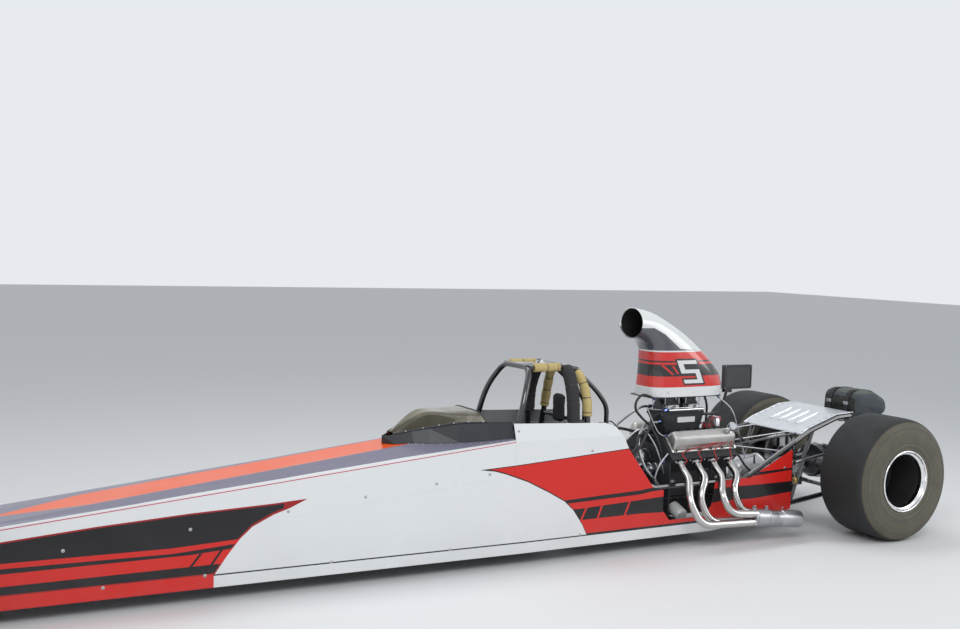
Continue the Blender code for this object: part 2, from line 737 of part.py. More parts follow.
seat = add("seat", sheet_mesh(seat_rows), cloth)
thicken(seat, 0.008, 1.0)

# Dash and firewall plates across the frame
DASH_X = 3.30
WHEEL_CENTRE = Vector((3.08, 0, 0.80))
COLUMN_END = Vector((3.42, 0, 0.72))
column = (COLUMN_END - WHEEL_CENTRE).normalized()
dash_half = at(upper_rail, DASH_X)[1] - RAIL_R - 0.0004
dash = add("dash_panel", prism_mesh(
    [(-dash_half, 0.56), (dash_half, 0.56), (dash_half, 0.755), (0.16, 0.795), (-0.16, 0.795),
     (-dash_half, 0.755)], "X", DASH_X, DASH_X + 0.004), satin_black)
cut(dash, add("column_hole", rod_mesh(WHEEL_CENTRE, COLUMN_END, 0.0095 + SHAFT_CLEARANCE, 12)))
wall_half = REAR_UPPER_Y - RAIL_R - GAP * 2
add("firewall", box_mesh((1.955, -wall_half, FLOOR), (1.959, wall_half, 0.64)), aluminium)

# Steering wheel with its shaft, turning on the column's axis
wheel_pivot = empty("steering_pivot", WHEEL_CENTRE)
tilt = Vector((0, 1, 0)).rotation_difference(column).to_matrix().to_4x4()
RING_R = 0.100
ring = []
for step in range(9):
    angle = 2 * math.pi * step / 8
    ring.append((RING_R * math.cos(angle), RING_R * math.sin(angle)))
bm = bmesh.new()
loop_rings = []
for step in range(20):
    turn = 2 * math.pi * step / 20
    loop_rings.append([bm.verts.new(((RING_R + 0.011 * math.cos(a)) * math.cos(turn),
                                     0.011 * math.sin(a),
                                     (RING_R + 0.011 * math.cos(a)) * math.sin(turn)))
                       for a in [2 * math.pi * k / 6 for k in range(6)]])
for i, one in enumerate(loop_rings):
    two = loop_rings[(i + 1) % len(loop_rings)]
    for k in range(6):
        bm.faces.new((one[k], one[(k + 1) % 6], two[(k + 1) % 6], two[k]))
rim_mesh = mesh_of(bm)
wheel_parts = [lathe_mesh([(0, -0.012), (0.032, -0.012), (0.032, 0.012), (0.0095, 0.03),
                           (0.0095, 0.345), (0, 0.345)], 12),
               box_mesh((-RING_R, -0.005, -0.014), (RING_R, 0.005, 0.014))]
for mesh in [rim_mesh] + wheel_parts:
    mesh.transform(tilt)
steering = add("steering_wheel", rim_mesh, paint_black, wheel_pivot)
join(steering, [add("wheel_member", mesh, None, wheel_pivot) for mesh in wheel_parts])

# Engine: V block with sump and heads as one casting, across its banks

def both(half):
    return half + [(-y, z) for y, z in reversed(half) if y]


BLOCK = both([(0.0, 0.650), (0.080, 0.650), (0.150, 0.720), (0.285, 0.585), (0.175, 0.475),
              (0.175, 0.310), (0.130, 0.280), (0.120, 0.160), (0.0, 0.160)])
engine = add("engine_block", prism_mesh(BLOCK, "X", ENGINE_REAR, ENGINE_FRONT), satin_black)

# Magneto standing at the rear of the block, behind the manifold
magneto = lathe_mesh([(0, -0.02), (0.022, -0.02), (0.022, 0.03), (0.034, 0.045), (0.034, 0.10),
                      (0.026, 0.125), (0, 0.125)], 12, "Z")
join(engine, [add("magneto", moved(magneto, (1.080, 0, 0.650)))])

# Bank axes lean outward at 45 degrees
LEAN = math.sqrt(0.5)


def on_bank(out, up, side=1):
    """Point of a bank: out along its top face from the inner edge, up its bore axis."""
    return (side * (0.150 + LEAN * out + LEAN * up), 0.720 - LEAN * out + LEAN * up)


COVER_ENDS = (ENGINE_REAR - 0.010, ENGINE_FRONT - 0.02)
for word, side in SIDES.items():
    section = [on_bank(out, up, side) for out, up in (
        (0.006, GAP), (0.006, 0.045), (0.030, 0.072), (0.095, 0.078), (0.130, 0.060),
        (0.146, 0.020), (0.158, 0.014), (0.158, GAP))]
    lid = add("valve_cover_" + word, prism_mesh(section, "X", *COVER_ENDS), aluminium)
    round_edges(lid, 0.004, 1)

# Tall intake manifold with its plenum
MANIFOLD_X = (1.17, 1.56)
PLENUM_TOP = SCOOP_BASE - 0.125
manifold = add("intake_manifold", box_mesh((1.13, -0.075, 0.650 + GAP), (1.55, 0.075, 0.700)),
               satin_black)
riser = prism_mesh([(1.20, 0.690), (1.50, 0.690), (1.54, PLENUM_TOP - 0.065), (1.56, PLENUM_TOP),
                    (1.17, PLENUM_TOP), (1.17, PLENUM_TOP - 0.065)], "Y", -0.085, 0.085)
join(manifold, [add("riser", riser)])

# Two carburettors under one scoop tray
CARB_Z = PLENUM_TOP + GAP
carb_parts = [box_mesh((1.18, -0.09, CARB_Z), (1.55, 0.09, CARB_Z + 0.014))]
for middle in (1.275, 1.455):
    carb_parts.append(box_mesh((middle - 0.075, -0.062, CARB_Z + 0.01),
                               (middle + 0.075, 0.062, CARB_Z + 0.075)))
    for end in (-0.112, 0.062):
        low = end if end > 0 else -0.092
        high = 0.092 if end > 0 else -0.058
        carb_parts.append(box_mesh((middle - 0.05, low, CARB_Z + 0.02),
                                   (middle + 0.05, high, CARB_Z + 0.062)))
    carb_parts.append(moved(lathe_mesh([(0, 0), (0.068, 0), (0.068, 0.05), (0, 0.05)], 16, "Z"),
                            (middle, 0, CARB_Z + 0.07)))
TRAY_TOP = SCOOP_BASE - GAP
carb_parts.append(box_mesh((1.075, -0.140, TRAY_TOP - 0.006), (1.675, 0.140, TRAY_TOP)))
carbs = add("carburettors", carb_parts[0], aluminium)
join(carbs, [add("carb_member", mesh) for mesh in carb_parts[1:]])

# Air scoop: rings from the tray up to the forward facing mouth
SCOOP = [
    # front station, front_z, rear station, rear_z, half width, squareness
    (1.690, SCOOP_BASE + 0.001, 1.060, SCOOP_BASE + 0.001, 0.150, 4.5),
    (1.685, 1.060, 1.055, 1.075, 0.152, 4.0),
    (1.678, 1.160, 1.090, 1.200, 0.150, 3.4),
    (1.678, 1.250, 1.225, 1.325, 0.145, 3.0),
    (1.688, 1.315, 1.370, 1.425, 0.140, 2.6),
    (1.712, 1.360, 1.530, 1.515, 0.134, 2.3),
    (1.740, 1.380, 1.640, 1.572, 0.131, 2.1),
    (1.770, 1.388, 1.720, 1.600, 0.130, 2.0),
]
SCOOP_SIDES = 20
scoop_rows = []
for front_x, front_z, rear_x, rear_z, wide, square in SCOOP:
    middle = Vector(((front_x + rear_x) / 2, 0, (front_z + rear_z) / 2))
    reach = Vector(((front_x - rear_x) / 2, 0, (front_z - rear_z) / 2))
    row = []
    for step in range(SCOOP_SIDES):
        angle = 2 * math.pi * step / SCOOP_SIDES
        c, s = math.cos(angle), math.sin(angle)
        along = math.copysign(abs(c) ** (2 / square), c)
        out = math.copysign(abs(s) ** (2 / square), s)
        row.append(middle + reach * along + Vector((0, wide * out, 0)))
    scoop_rows.append(row)
bm = bmesh.new()
loops = [[bm.verts.new(p) for p in row] for row in scoop_rows]
for one, two in zip(loops, loops[1:]):
    for i in range(SCOOP_SIDES):
        j = (i + 1) % SCOOP_SIDES
        bm.faces.new((one[i], one[j], two[j], two[i]))
scoop = add("air_scoop", mesh_of(bm), paint_white, smooth=40)
thicken(scoop, SCOOP_SHEET)

# Exhaust headers: four bent pipes a side that join in a collector
PIPES = [
    # port station, knee station, knee_y, knee_z, bend station, row, column
    (1.525, 1.565, 0.470, 0.340, 1.500, -1, 1),
    (1.385, 1.440, 0.425, 0.340, 1.390, -1, -1),
    (1.245, 1.300, 0.500, 0.365, 1.240, 1, 1),
    (1.105, 1.180, 0.440, 0.370, 1.130, 1, -1),
]
COLLECTOR_FRONT = 1.075
COLLECTOR_REAR = 0.645
COLLECTOR_Z = 0.195
COLLECTOR_DROP = 0.048
PITCH = HEADER_R + 0.003
for word, side in SIDES.items():
    port = (0.150 + 0.110, 0.720 - 0.165)
    strip = [(0.2453, 0.5447), (0.2803, 0.5797), (0.2874, 0.5726), (0.2524, 0.5376)]
    parts = [prism_mesh([(side * (y + GAP), z - GAP) for y, z in strip], "X",
                        ENGINE_REAR + 0.02, ENGINE_FRONT - 0.02)]
    for port_x, knee_x, knee_y, knee_z, bend_x, row, col in PIPES:
        low = COLLECTOR_Z + row * PITCH
        run_y = HEADER_Y + col * PITCH
        path = [(port_x, 0.265, 0.560), (port_x, 0.312, 0.513), (port_x + 0.01, 0.390, 0.465),
                (knee_x, knee_y, knee_z), (bend_x, run_y, low + 0.02),
                (COLLECTOR_FRONT - 0.02, run_y, low)]
        parts.append(tube_mesh(mirrored(path, side), HEADER_R, 0.055, 8, 1))
    run = Vector((COLLECTOR_REAR - COLLECTOR_FRONT, 0, -COLLECTOR_DROP))
    reach = run.length
    can = lathe_mesh([(0, 0), (0.056, 0), (0.060, 0.03), (0.060, 0.14), (0.053, 0.21),
                      (0.0525, 0.26), (COLLECTOR_R - 0.003, 0.265), (COLLECTOR_R - 0.003, reach),
                      (COLLECTOR_R - 0.006, reach), (COLLECTOR_R - 0.006, reach - 0.12),
                      (0, reach - 0.12)], 12)
    turn = Vector((0, 1, 0)).rotation_difference(run).to_matrix().to_4x4()
    can.transform(Matrix.Translation((COLLECTOR_FRONT, side * HEADER_Y, COLLECTOR_Z)) @ turn)
    parts.append(can)
    header = add("header_" + word, parts[0], chrome)
    join(header, [add("pipe_" + word, mesh) for mesh in parts[1:]])

# Motor plate and front drive
PLATE_X = ENGINE_FRONT + GAP
PLATE = both([(0.0, 0.560), (0.120, 0.560), (0.200, 0.600), (wall_half, 0.560),
              (wall_half, 0.200), (0.180, 0.140), (0.0, 0.140)])
add("motor_plate", prism_mesh(PLATE, "X", PLATE_X, PLATE_X + 0.008), satin_black)
DRIVE_X = PLATE_X + 0.008 + GAP
drive_parts = []
for y, z, radius in ((0.0, CRANK_Z, 0.075), (0.0, 0.555, 0.060), (0.115, 0.500, 0.040)):
    profile = [(0, 0), (radius * 0.7, 0), (radius * 0.7, 0.018), (radius, 0.022),
               (radius, 0.060), (radius * 0.6, 0.066), (0, 0.066)]
    drive_parts.append(moved(lathe_mesh(profile, 14, "X"), (DRIVE_X, y, z)))
drive_parts.append(box_mesh((DRIVE_X, -0.060, CRANK_Z), (DRIVE_X + 0.050, 0.060, 0.555)))
drive_parts.append(box_mesh((DRIVE_X, 0.0, 0.440), (DRIVE_X + 0.050, 0.115, 0.520)))
drive = add("front_drive", drive_parts[0], aluminium)
join(drive, [add("drive_member", mesh) for mesh in drive_parts[1:]])

# Bell housing, gearbox and coupler as one turned case
SNOUT_X = 0.205
gearbox = lathe_mesh([(0, 0), (0.185, 0), (0.185, 0.02), (0.125, 0.17), (0.135, 0.18),
                      (0.135, 0.20), (0.118, 0.21), (0.112, 0.44), (0.088, 0.47), (0.080, 0.60),
                      (0.050, 0.62), (0.050, ENGINE_REAR - SNOUT_X - 2 * GAP),
                      (0, ENGINE_REAR - SNOUT_X - 2 * GAP)], 16, "X")
gearbox.transform(Matrix.Rotation(math.pi, 4, "Z"))
add("transmission", moved(gearbox, (ENGINE_REAR - GAP, 0, CRANK_Z)), aluminium)

# Rear axle: housing, centre section and brackets
housing = lathe_mesh([
    (SHAFT_R + SHAFT_CLEARANCE, -HOUSING_HALF), (0.062, -HOUSING_HALF),
    (0.062, -HOUSING_HALF + 0.012), (HOUSING_R, -HOUSING_HALF + 0.012), (HOUSING_R, -0.16),
    (0.095, -0.10), (0.128, -0.05), (0.135, 0.0), (0.128, 0.05), (0.095, 0.10),
    (HOUSING_R, 0.16), (HOUSING_R, HOUSING_HALF - 0.012), (0.062, HOUSING_HALF - 0.012),
    (0.062, HOUSING_HALF), (SHAFT_R + SHAFT_CLEARANCE, HOUSING_HALF)], 16)
moved(housing, (0, 0, AXLE_Z))
axle_parts = [moved(lathe_mesh([(0, 0.05), (0.075, 0.05), (0.055, SNOUT_X - 0.02),
                                (0.055, SNOUT_X), (0, SNOUT_X)], 12, "X"), (0, 0, AXLE_Z))]
ROD_END = (0.06, 0.575)
BRACKET_Y = HOUSING_HALF - 0.018
for side in (1, -1):
    bracket = [(0.03, AXLE_Z), (0.09, AXLE_Z + 0.02), (0.085, 0.600), (0.035, 0.600)]
    low, high = sorted((side * BRACKET_Y, side * (BRACKET_Y + 0.008)))
    axle_parts.append(prism_mesh(bracket, "Y", low, high))
axle = add("rear_axle", housing, satin_black)
join(axle, [add("axle_member", mesh) for mesh in axle_parts])

# Radius rods from the frame's rear upright to the axle brackets
ROD_START_Y = REAR_FRAME_Y + RAIL_R * 0.85 + GAP
for word, side in SIDES.items():
    rod_r = 0.011
    start = (ROD_X, ROD_START_Y + 0.011, 0.505)
    end = (ROD_END[0], BRACKET_Y - GAP - 0.011, ROD_END[1])
    rod = add("radius_rod_" + word, rod_mesh(*mirrored((start, end), side), rod_r), chrome)
    eyes = []
    for x, y, z in (start, end):
        low, high = sorted((side * (y - 0.011), side * (y + 0.011)))
        eyes.append(rod_mesh((x, low, z), (x, high, z), 0.018, 10))
    join(rod, [add("rod_eye", mesh) for mesh in eyes])

# Louvred rear deck lying on the frame's rear rails
DECK_SHEET = 0.003
DECK_LIFT = RAIL_R + DECK_SHEET + 0.0006
deck_front = at(upper_rail, 0.450)
deck_path = offset_line([(deck_front[0], deck_front[2])] + DECK_RAIL[1:], DECK_LIFT)
deck_rows = [[(x, y, z) for y in (-REAR_FRAME_Y, 0.0, REAR_FRAME_Y)]
             for x, z in deck_path]
deck = add("rear_deck", sheet_mesh(deck_rows), aluminium)
thicken(deck, DECK_SHEET, -1.0)

# Parachute pack on its tray
PACK = [(PACK_FRONT, PACK_FLOOR), (PACK_FRONT - 0.02, 0.930), (PACK_FRONT - 0.06, 0.975),
        (PACK_FRONT - 0.24, 0.970), (-TAIL_REACH + 0.03, 0.905), (-TAIL_REACH, 0.830),
        (-TAIL_REACH + 0.03, PACK_FLOOR)]
pack = add("parachute_pack", prism_mesh(PACK, "Y", -0.175, 0.175), cloth)
round_edges(pack, 0.012, 1, 30)

# Dial board on a bent post from the plenum
BOARD_X = (0.690, 0.940)
board = add("dial_board", box_mesh((BOARD_X[0], -0.015, 1.010), (BOARD_X[1], 0.015, 1.180)),
            satin_black)
post = tube_mesh([(0.900, 0, 1.020), (0.955, 0, PLENUM_TOP - 0.03),
                  (MANIFOLD_X[0] - GAP, 0, PLENUM_TOP - 0.03)],
                 0.010, 0.05, 6)
join(board, [add("board_post", post)])

# Front axle with a fork at each end
fork_parts = []
for side in (1, -1):
    low, high = sorted((side * 0.395, side * 0.418))
    fork_parts.append(box_mesh((WHEELBASE - 0.018, low, FRONT_AXLE_Z - 0.040),
                               (WHEELBASE + 0.018, high, FRONT_AXLE_Z + 0.040)))
    low, high = sorted((side * 0.400, side * 0.456))
    for base in (-0.040, 0.0285):
        fork_parts.append(box_mesh((WHEELBASE - 0.018, low, FRONT_AXLE_Z + base),
                                   (WHEELBASE + 0.018, high, FRONT_AXLE_Z + base + 0.0115)))
beam = rod_mesh((WHEELBASE, -0.40, FRONT_AXLE_Z), (WHEELBASE, 0.40, FRONT_AXLE_Z), AXLE_R, 12)
front_axle = add("front_axle", beam, chrome)
join(front_axle, [add("fork_part", mesh) for mesh in fork_parts])
for side in (1, -1):
    pin_hole = rod_mesh((WHEELBASE, side * KINGPIN_Y, 0.1), (WHEELBASE, side * KINGPIN_Y, 0.5),
                        0.008 + SHAFT_CLEARANCE, 12)
    cut(front_axle, add("kingpin_hole", pin_hole))

# Steering knuckles, each with its kingpin, spindle and steering arm
EYE_Z = FRONT_AXLE_Z + 0.010 + GAP
for word, side in SIDES.items():
    pivot = empty("kingpin_" + word, (WHEELBASE, side * KINGPIN_Y, FRONT_AXLE_Z))
    boss = lathe_mesh([(0, -0.044), (0.008, -0.044), (0.008, -0.0282), (0.016, -0.0282),
                       (0.016, 0.0282), (0.008, 0.0282), (0.008, 0.044), (0, 0.044)], 12, "Z")
    spindle = lathe_mesh([(0, 0.010), (0.014, 0.010), (0.014, 0.028), (SPINDLE_R, 0.032),
                          (SPINDLE_R, 0.116), (0.018, 0.116), (0.018, 0.128), (0, 0.128)], 12)
    if side < 0:
        spindle.transform(Matrix.Rotation(math.pi, 4, "Z"))
    arm = box_mesh((-STEER_ARM - 0.012, -0.008, -0.010), (0, 0.008, 0.010))
    stud = rod_mesh((-STEER_ARM, 0, 0), (-STEER_ARM, 0, 0.040), STUD_R)
    knuckle = add("knuckle_" + word, boss, bare_steel, pivot)
    join(knuckle, [add("knuckle_member", mesh, None, pivot) for mesh in (spindle, arm, stud)])

# Tie rod between the steering arms
tie_pivot = empty("tie_rod_pivot", (ARM_X, KINGPIN_Y, FRONT_AXLE_Z))
tie = rod_mesh((0, -0.010, TIE_ROD_Z - FRONT_AXLE_Z),
               (0, -2 * KINGPIN_Y + 0.010, TIE_ROD_Z - FRONT_AXLE_Z), TIE_ROD_R)
tie_rod = add("tie_rod", tie, bare_steel, tie_pivot)
tie_eyes = []
for y in (0, -2 * KINGPIN_Y):
    tie_eyes.append(rod_mesh((0, y, EYE_Z - FRONT_AXLE_Z), (0, y, EYE_Z - FRONT_AXLE_Z + 0.024),
                             0.013, 12))
join(tie_rod, [add("tie_eye", mesh, None, tie_pivot) for mesh in tie_eyes])
for y in (0, -2 * KINGPIN_Y):
    stud_hole = rod_mesh((0, y, 0), (0, y, 0.1), STUD_R + SHAFT_CLEARANCE)
    cut(tie_rod, add("stud_hole", stud_hole, None, tie_pivot))

# Wheels: profiles of (radius, distance out from the wheel's middle)
REAR_TYRE = [
    (REAR_RIM_R + GAP, -0.200), (0.232, -0.2085), (0.270, -REAR_TYRE_HALF),
    (0.330, -REAR_TYRE_HALF), (0.385, -0.208), (0.418, -0.190), (0.430, -0.165),
    (REAR_TYRE_R, -0.120), (REAR_TYRE_R, 0.120), (0.430, 0.165), (0.418, 0.190),
    (0.385, 0.208), (0.330, REAR_TYRE_HALF), (0.270, REAR_TYRE_HALF), (0.232, 0.2085),
    (REAR_RIM_R + GAP, 0.200),
]
DISC_Y = HOUSING_HALF + 0.015 - REAR_WHEEL_Y
REAR_RIM = [
    (0, DISC_Y - 0.105), (SHAFT_R, DISC_Y - 0.105), (SHAFT_R, DISC_Y), (0.150, DISC_Y + 0.005),
    (0.150, DISC_Y + 0.017), (0.070, DISC_Y + 0.020), (0.070, -0.110), (0.186, -0.110),
    (0.190, -0.185), (0.205, -0.211),
    (REAR_RIM_R, -0.211), (REAR_RIM_R, 0.211), (0.206, 0.211), (0.194, 0.185),
    (0.184, -0.085), (0.070, -0.092), (0.055, -0.055), (0, -0.050),
]
FRONT_TYRE = [
    (FRONT_RIM_R + GAP, -0.034), (0.225, -0.044), (0.245, -FRONT_TYRE_HALF),
    (0.263, -0.051), (0.275, -0.036), (FRONT_TYRE_R, -0.016), (FRONT_TYRE_R, 0.016),
    (0.275, 0.036), (0.263, 0.051), (0.245, FRONT_TYRE_HALF), (0.225, 0.044),
    (FRONT_RIM_R + GAP, 0.034),
]
REAR_SEGMENTS = 24
FRONT_SEGMENTS = 20
HUB_BORE = SPINDLE_R + SHAFT_CLEARANCE
FRONT_RIM = [
    (HUB_BORE, -0.042), (0.032, -0.042), (0.036, -0.018), (0.190, -0.006), (0.205, -0.040),
    (FRONT_RIM_R, -0.040), (FRONT_RIM_R, 0.040), (0.205, 0.040), (0.195, 0.006),
    (0.036, 0.004), (0.030, 0.030), (HUB_BORE, 0.030),
]
for word, side in SIDES.items():
    rear_pivot = empty("rear_wheel_" + word, (0, side * REAR_WHEEL_Y, AXLE_Z))
    front_pivot = empty("front_wheel_" + word, (WHEELBASE, side * FRONT_WHEEL_Y, FRONT_AXLE_Z))
    for pivot in (rear_pivot, front_pivot):
        if side < 0:
            pivot.rotation_euler.z = math.pi
    add("tyre_rear_" + word, lathe_mesh(REAR_TYRE, REAR_SEGMENTS), rubber, rear_pivot, 35)
    add("rim_rear_" + word, lathe_mesh(REAR_RIM, REAR_SEGMENTS), bare_steel, rear_pivot, 35)
    add("tyre_front_" + word, lathe_mesh(FRONT_TYRE, FRONT_SEGMENTS), rubber, front_pivot, 35)
    add("rim_front_" + word, lathe_mesh(FRONT_RIM, FRONT_SEGMENTS), aluminium, front_pivot, 35)
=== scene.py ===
# %% [markdown]
# # A rear engined drag racing car
# The solid model is loaded first, as a fixed frame in metres: +X is the nose,
# +Y the car's left and +Z up. Every finish and every finer surface below is
# laid over it, so nothing has to be fitted afterwards.

# %% Load the frame
import json
import math

import bmesh
import bpy
import numpy as np
from mathutils import Matrix, Vector

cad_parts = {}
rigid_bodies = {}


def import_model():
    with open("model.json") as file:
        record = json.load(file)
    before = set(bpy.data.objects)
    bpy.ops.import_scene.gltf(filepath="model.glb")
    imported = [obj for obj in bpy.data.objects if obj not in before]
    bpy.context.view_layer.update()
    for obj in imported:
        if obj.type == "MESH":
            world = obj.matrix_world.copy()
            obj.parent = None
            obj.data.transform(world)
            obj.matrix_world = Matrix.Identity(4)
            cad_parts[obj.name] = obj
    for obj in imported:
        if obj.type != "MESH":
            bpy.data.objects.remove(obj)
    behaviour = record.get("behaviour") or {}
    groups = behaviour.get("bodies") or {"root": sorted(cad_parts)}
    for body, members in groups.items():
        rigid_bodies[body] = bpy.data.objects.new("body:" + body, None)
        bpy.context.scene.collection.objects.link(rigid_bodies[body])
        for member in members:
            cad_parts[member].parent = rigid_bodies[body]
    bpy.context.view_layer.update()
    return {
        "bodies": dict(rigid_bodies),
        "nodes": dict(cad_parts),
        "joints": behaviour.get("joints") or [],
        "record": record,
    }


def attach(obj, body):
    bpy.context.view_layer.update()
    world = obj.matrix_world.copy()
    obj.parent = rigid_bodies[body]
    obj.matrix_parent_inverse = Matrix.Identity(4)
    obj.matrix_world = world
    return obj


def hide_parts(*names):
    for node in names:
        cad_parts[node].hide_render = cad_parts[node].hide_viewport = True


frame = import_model()
NODES = frame["nodes"]

# %% [markdown]
# ## Stations
# Builders of such cars measure along the car from the rear axle. A station is
# that distance, and MID turns it into the frame's X. The body's outline is a
# straight wedge, so three lines give every point of its side and top.

# %% The body's lines
MID = 3.11
WHEELBASE = 6.22


def half_width(x):
    """Distance from the middle plane to the side panel: a straight taper from
    0.345 m at station 2.8 towards 0.25 m at station 6.1."""
    return 0.345 - 0.095 * np.clip((x - 2.8) / 3.3, 0, 1.2)


def crease(x):
    """Height of the fold between side and top: falls 99 mm for each metre ahead."""
    return 0.793 - 0.099 * (x - 2.9)


def top_rise(x):
    """Height of the flat top above the fold."""
    return 0.057 - 0.0183 * (x - 2.9)


print("crease at the nose seam %.3f m" % crease(5.95))

# %% [markdown]
# ## Camera
# The photograph is taken from the car's left, out beside the front wheels and
# about two metres above the floor. Right, up and back vectors from yaw, pitch
# and roll become the columns of the camera's matrix.

# %% The camera
CAMERA_AT = (6.395 - MID, 6.25, 1.983)
YAW, PITCH, ROLL = (math.radians(a) for a in (28.782, -3.451, 1.748))
FOCAL_PIXELS, PICTURE_PIXELS = 1127.22, 960
SENSOR = 36.0
look = Vector((-math.sin(YAW) * math.cos(PITCH), -math.cos(YAW) * math.cos(PITCH), math.sin(PITCH)))
level = look.cross(Vector((0, 0, 1))).normalized()
plumb = level.cross(look)
right = level * math.cos(ROLL) + plumb * math.sin(ROLL)
up = plumb * math.cos(ROLL) - level * math.sin(ROLL)
camera = bpy.data.objects.new("camera", bpy.data.cameras.new("camera"))
bpy.context.scene.collection.objects.link(camera)
camera.data.sensor_width = SENSOR
camera.data.lens = SENSOR * FOCAL_PIXELS / PICTURE_PIXELS
camera.matrix_world = Matrix([(right[i], up[i], -look[i], CAMERA_AT[i]) for i in range(3)] + [(0, 0, 0, 1)])
bpy.context.scene.camera = camera
bpy.context.scene.view_settings.view_transform = "Standard"
print("lens %.1f mm" % camera.data.lens)

# %% [markdown]
# ## Floor, sky and lamps
# A pale floor and a pale sky make a plain studio. Rays from the camera, and
# rays that leave glass or polished metal, see the bright sky; everything else
# gets a dimmer one, so the lamps model the form.

# %% The floor
def add_floor(half=40.0):
    """One square under the wheels, marked as stage."""
    mesh = bpy.data.meshes.new("floor")
    mesh.from_pydata([(-half, -half, 0), (half, -half, 0), (half, half, 0), (-half, half, 0)], [],
                     [(0, 1, 2, 3)])
    floor = bpy.data.objects.new("floor", mesh)
    bpy.context.scene.collection.objects.link(floor)
    paint = bpy.data.materials.new("floor_paint")
    paint.use_nodes = True
    shader = paint.node_tree.nodes["Principled BSDF"]
    shader.inputs["Base Color"].default_value = (0.8, 0.81, 0.82, 1)
    shader.inputs["Roughness"].default_value = 0.75
    mesh.materials.append(paint)
    return floor


add_floor()


# %% The sky
def add_sky(seen=0.86, felt=0.5):
    """The sky's strength is `seen` for camera, glossy and transmission rays, and
    `felt` for the light that falls on the car."""
    world = bpy.data.worlds.new("studio")
    world.use_nodes = True
    nodes, links = world.node_tree.nodes, world.node_tree.links
    nodes.clear()
    rays = nodes.new("ShaderNodeLightPath")
    bright = rays.outputs["Is Camera Ray"]
    for kind in ("Is Transmission Ray", "Is Glossy Ray"):
        either = nodes.new("ShaderNodeMath")
        either.operation = "MAXIMUM"
        links.new(bright, either.inputs[0])
        links.new(rays.outputs[kind], either.inputs[1])
        bright = either.outputs[0]
    strength = nodes.new("ShaderNodeMapRange")
    strength.inputs["To Min"].default_value = felt
    strength.inputs["To Max"].default_value = seen
    links.new(bright, strength.inputs["Value"])
    back = nodes.new("ShaderNodeBackground")
    back.inputs["Color"].default_value = (0.93, 0.96, 1.0, 1)
    links.new(strength.outputs["Result"], back.inputs["Strength"])
    out = nodes.new("ShaderNodeOutputWorld")
    links.new(back.outputs[0], out.inputs["Surface"])
    bpy.context.scene.world = world


add_sky()

# %% The lamps
LAMPS = [
    # name, place, aimed at, width, height, watts
    ("key", (2.5, 6.0, 5.5), (-0.5, 0, 0.5), 5.0, 2.5, 235),
    ("fill", (-6.0, 4.0, 3.0), (-2.0, 0, 0.6), 3.0, 3.0, 80),
    ("top", (0.0, -1.5, 6.0), (0, 0, 0.5), 8.0, 2.0, 110),
]
for name, place, target, width, height, watts in LAMPS:
    lamp = bpy.data.lights.new(name, "AREA")
    lamp.shape = "RECTANGLE"
    lamp.size, lamp.size_y, lamp.energy = width, height, watts
    holder = bpy.data.objects.new(name, lamp)
    holder.location = place
    aim = Vector(target) - Vector(place)
    holder.rotation_euler = aim.to_track_quat("-Z", "Y").to_euler()
    bpy.context.scene.collection.objects.link(holder)
print(len(LAMPS), "lamps")

# %% [markdown]
# ## Wear as shader groups
# Real finishes are never one flat value. Three small groups give what most
# materials here need: soft blotches for dust and rubber marks, streaks for
# brushed metal, and fine grain for cast and moulded parts. Each is built once
# and placed in a material with its own numbers.


# %% Shader helpers
def new_group(name, inputs, outputs):
    """An empty group with float or colour sockets: (name, kind, default)."""
    group = bpy.data.node_groups.new(name, "ShaderNodeTree")
    for side, sockets in (("INPUT", inputs), ("OUTPUT", outputs)):
        for label, kind, default in sockets:
            socket = group.interface.new_socket(label, in_out=side, socket_type="NodeSocket" + kind)
            if default is not None:
                socket.default_value = default
    return group, group.nodes.new("NodeGroupInput"), group.nodes.new("NodeGroupOutput")


def wire(tree, kind, inputs, **settings):
    """One node: its settings, then its inputs by name or number, linked or set."""
    node = tree.nodes.new(kind)
    for key, value in settings.items():
        setattr(node, key, value)
    for key, value in inputs.items():
        if isinstance(value, bpy.types.NodeSocket):
            tree.links.new(value, node.inputs[key])
        else:
            node.inputs[key].default_value = value
    return node


def sum_up(tree, operation, one, two=0.0, three=0.0):
    """The result socket of a Math node."""
    node = wire(tree, "ShaderNodeMath", {0: one, 1: two}, operation=operation)
    if operation in ("COMPARE", "MULTIPLY_ADD"):
        if isinstance(three, bpy.types.NodeSocket):
            tree.links.new(three, node.inputs[2])
        else:
            node.inputs[2].default_value = three
    return node.outputs[0]


def over(tree, mask, below, above):
    """Colour `above` laid over colour `below` where the mask is 1."""
    node = tree.nodes.new("ShaderNodeMix")
    node.data_type = "RGBA"
    for key, value in ((0, mask), (6, below), (7, above)):
        if isinstance(value, bpy.types.NodeSocket):
            tree.links.new(value, node.inputs[key])
        else:
            node.inputs[key].default_value = value if key == 0 else (*value[:3], 1)
    return node.outputs[2]


def where(tree):
    """Station, side and height of the point, from Object coordinates."""
    place = wire(tree, "ShaderNodeTexCoord", {}).outputs["Object"]
    split = wire(tree, "ShaderNodeSeparateXYZ", {0: place})
    return sum_up(tree, "ADD", split.outputs["X"], MID), split.outputs["Y"], split.outputs["Z"]


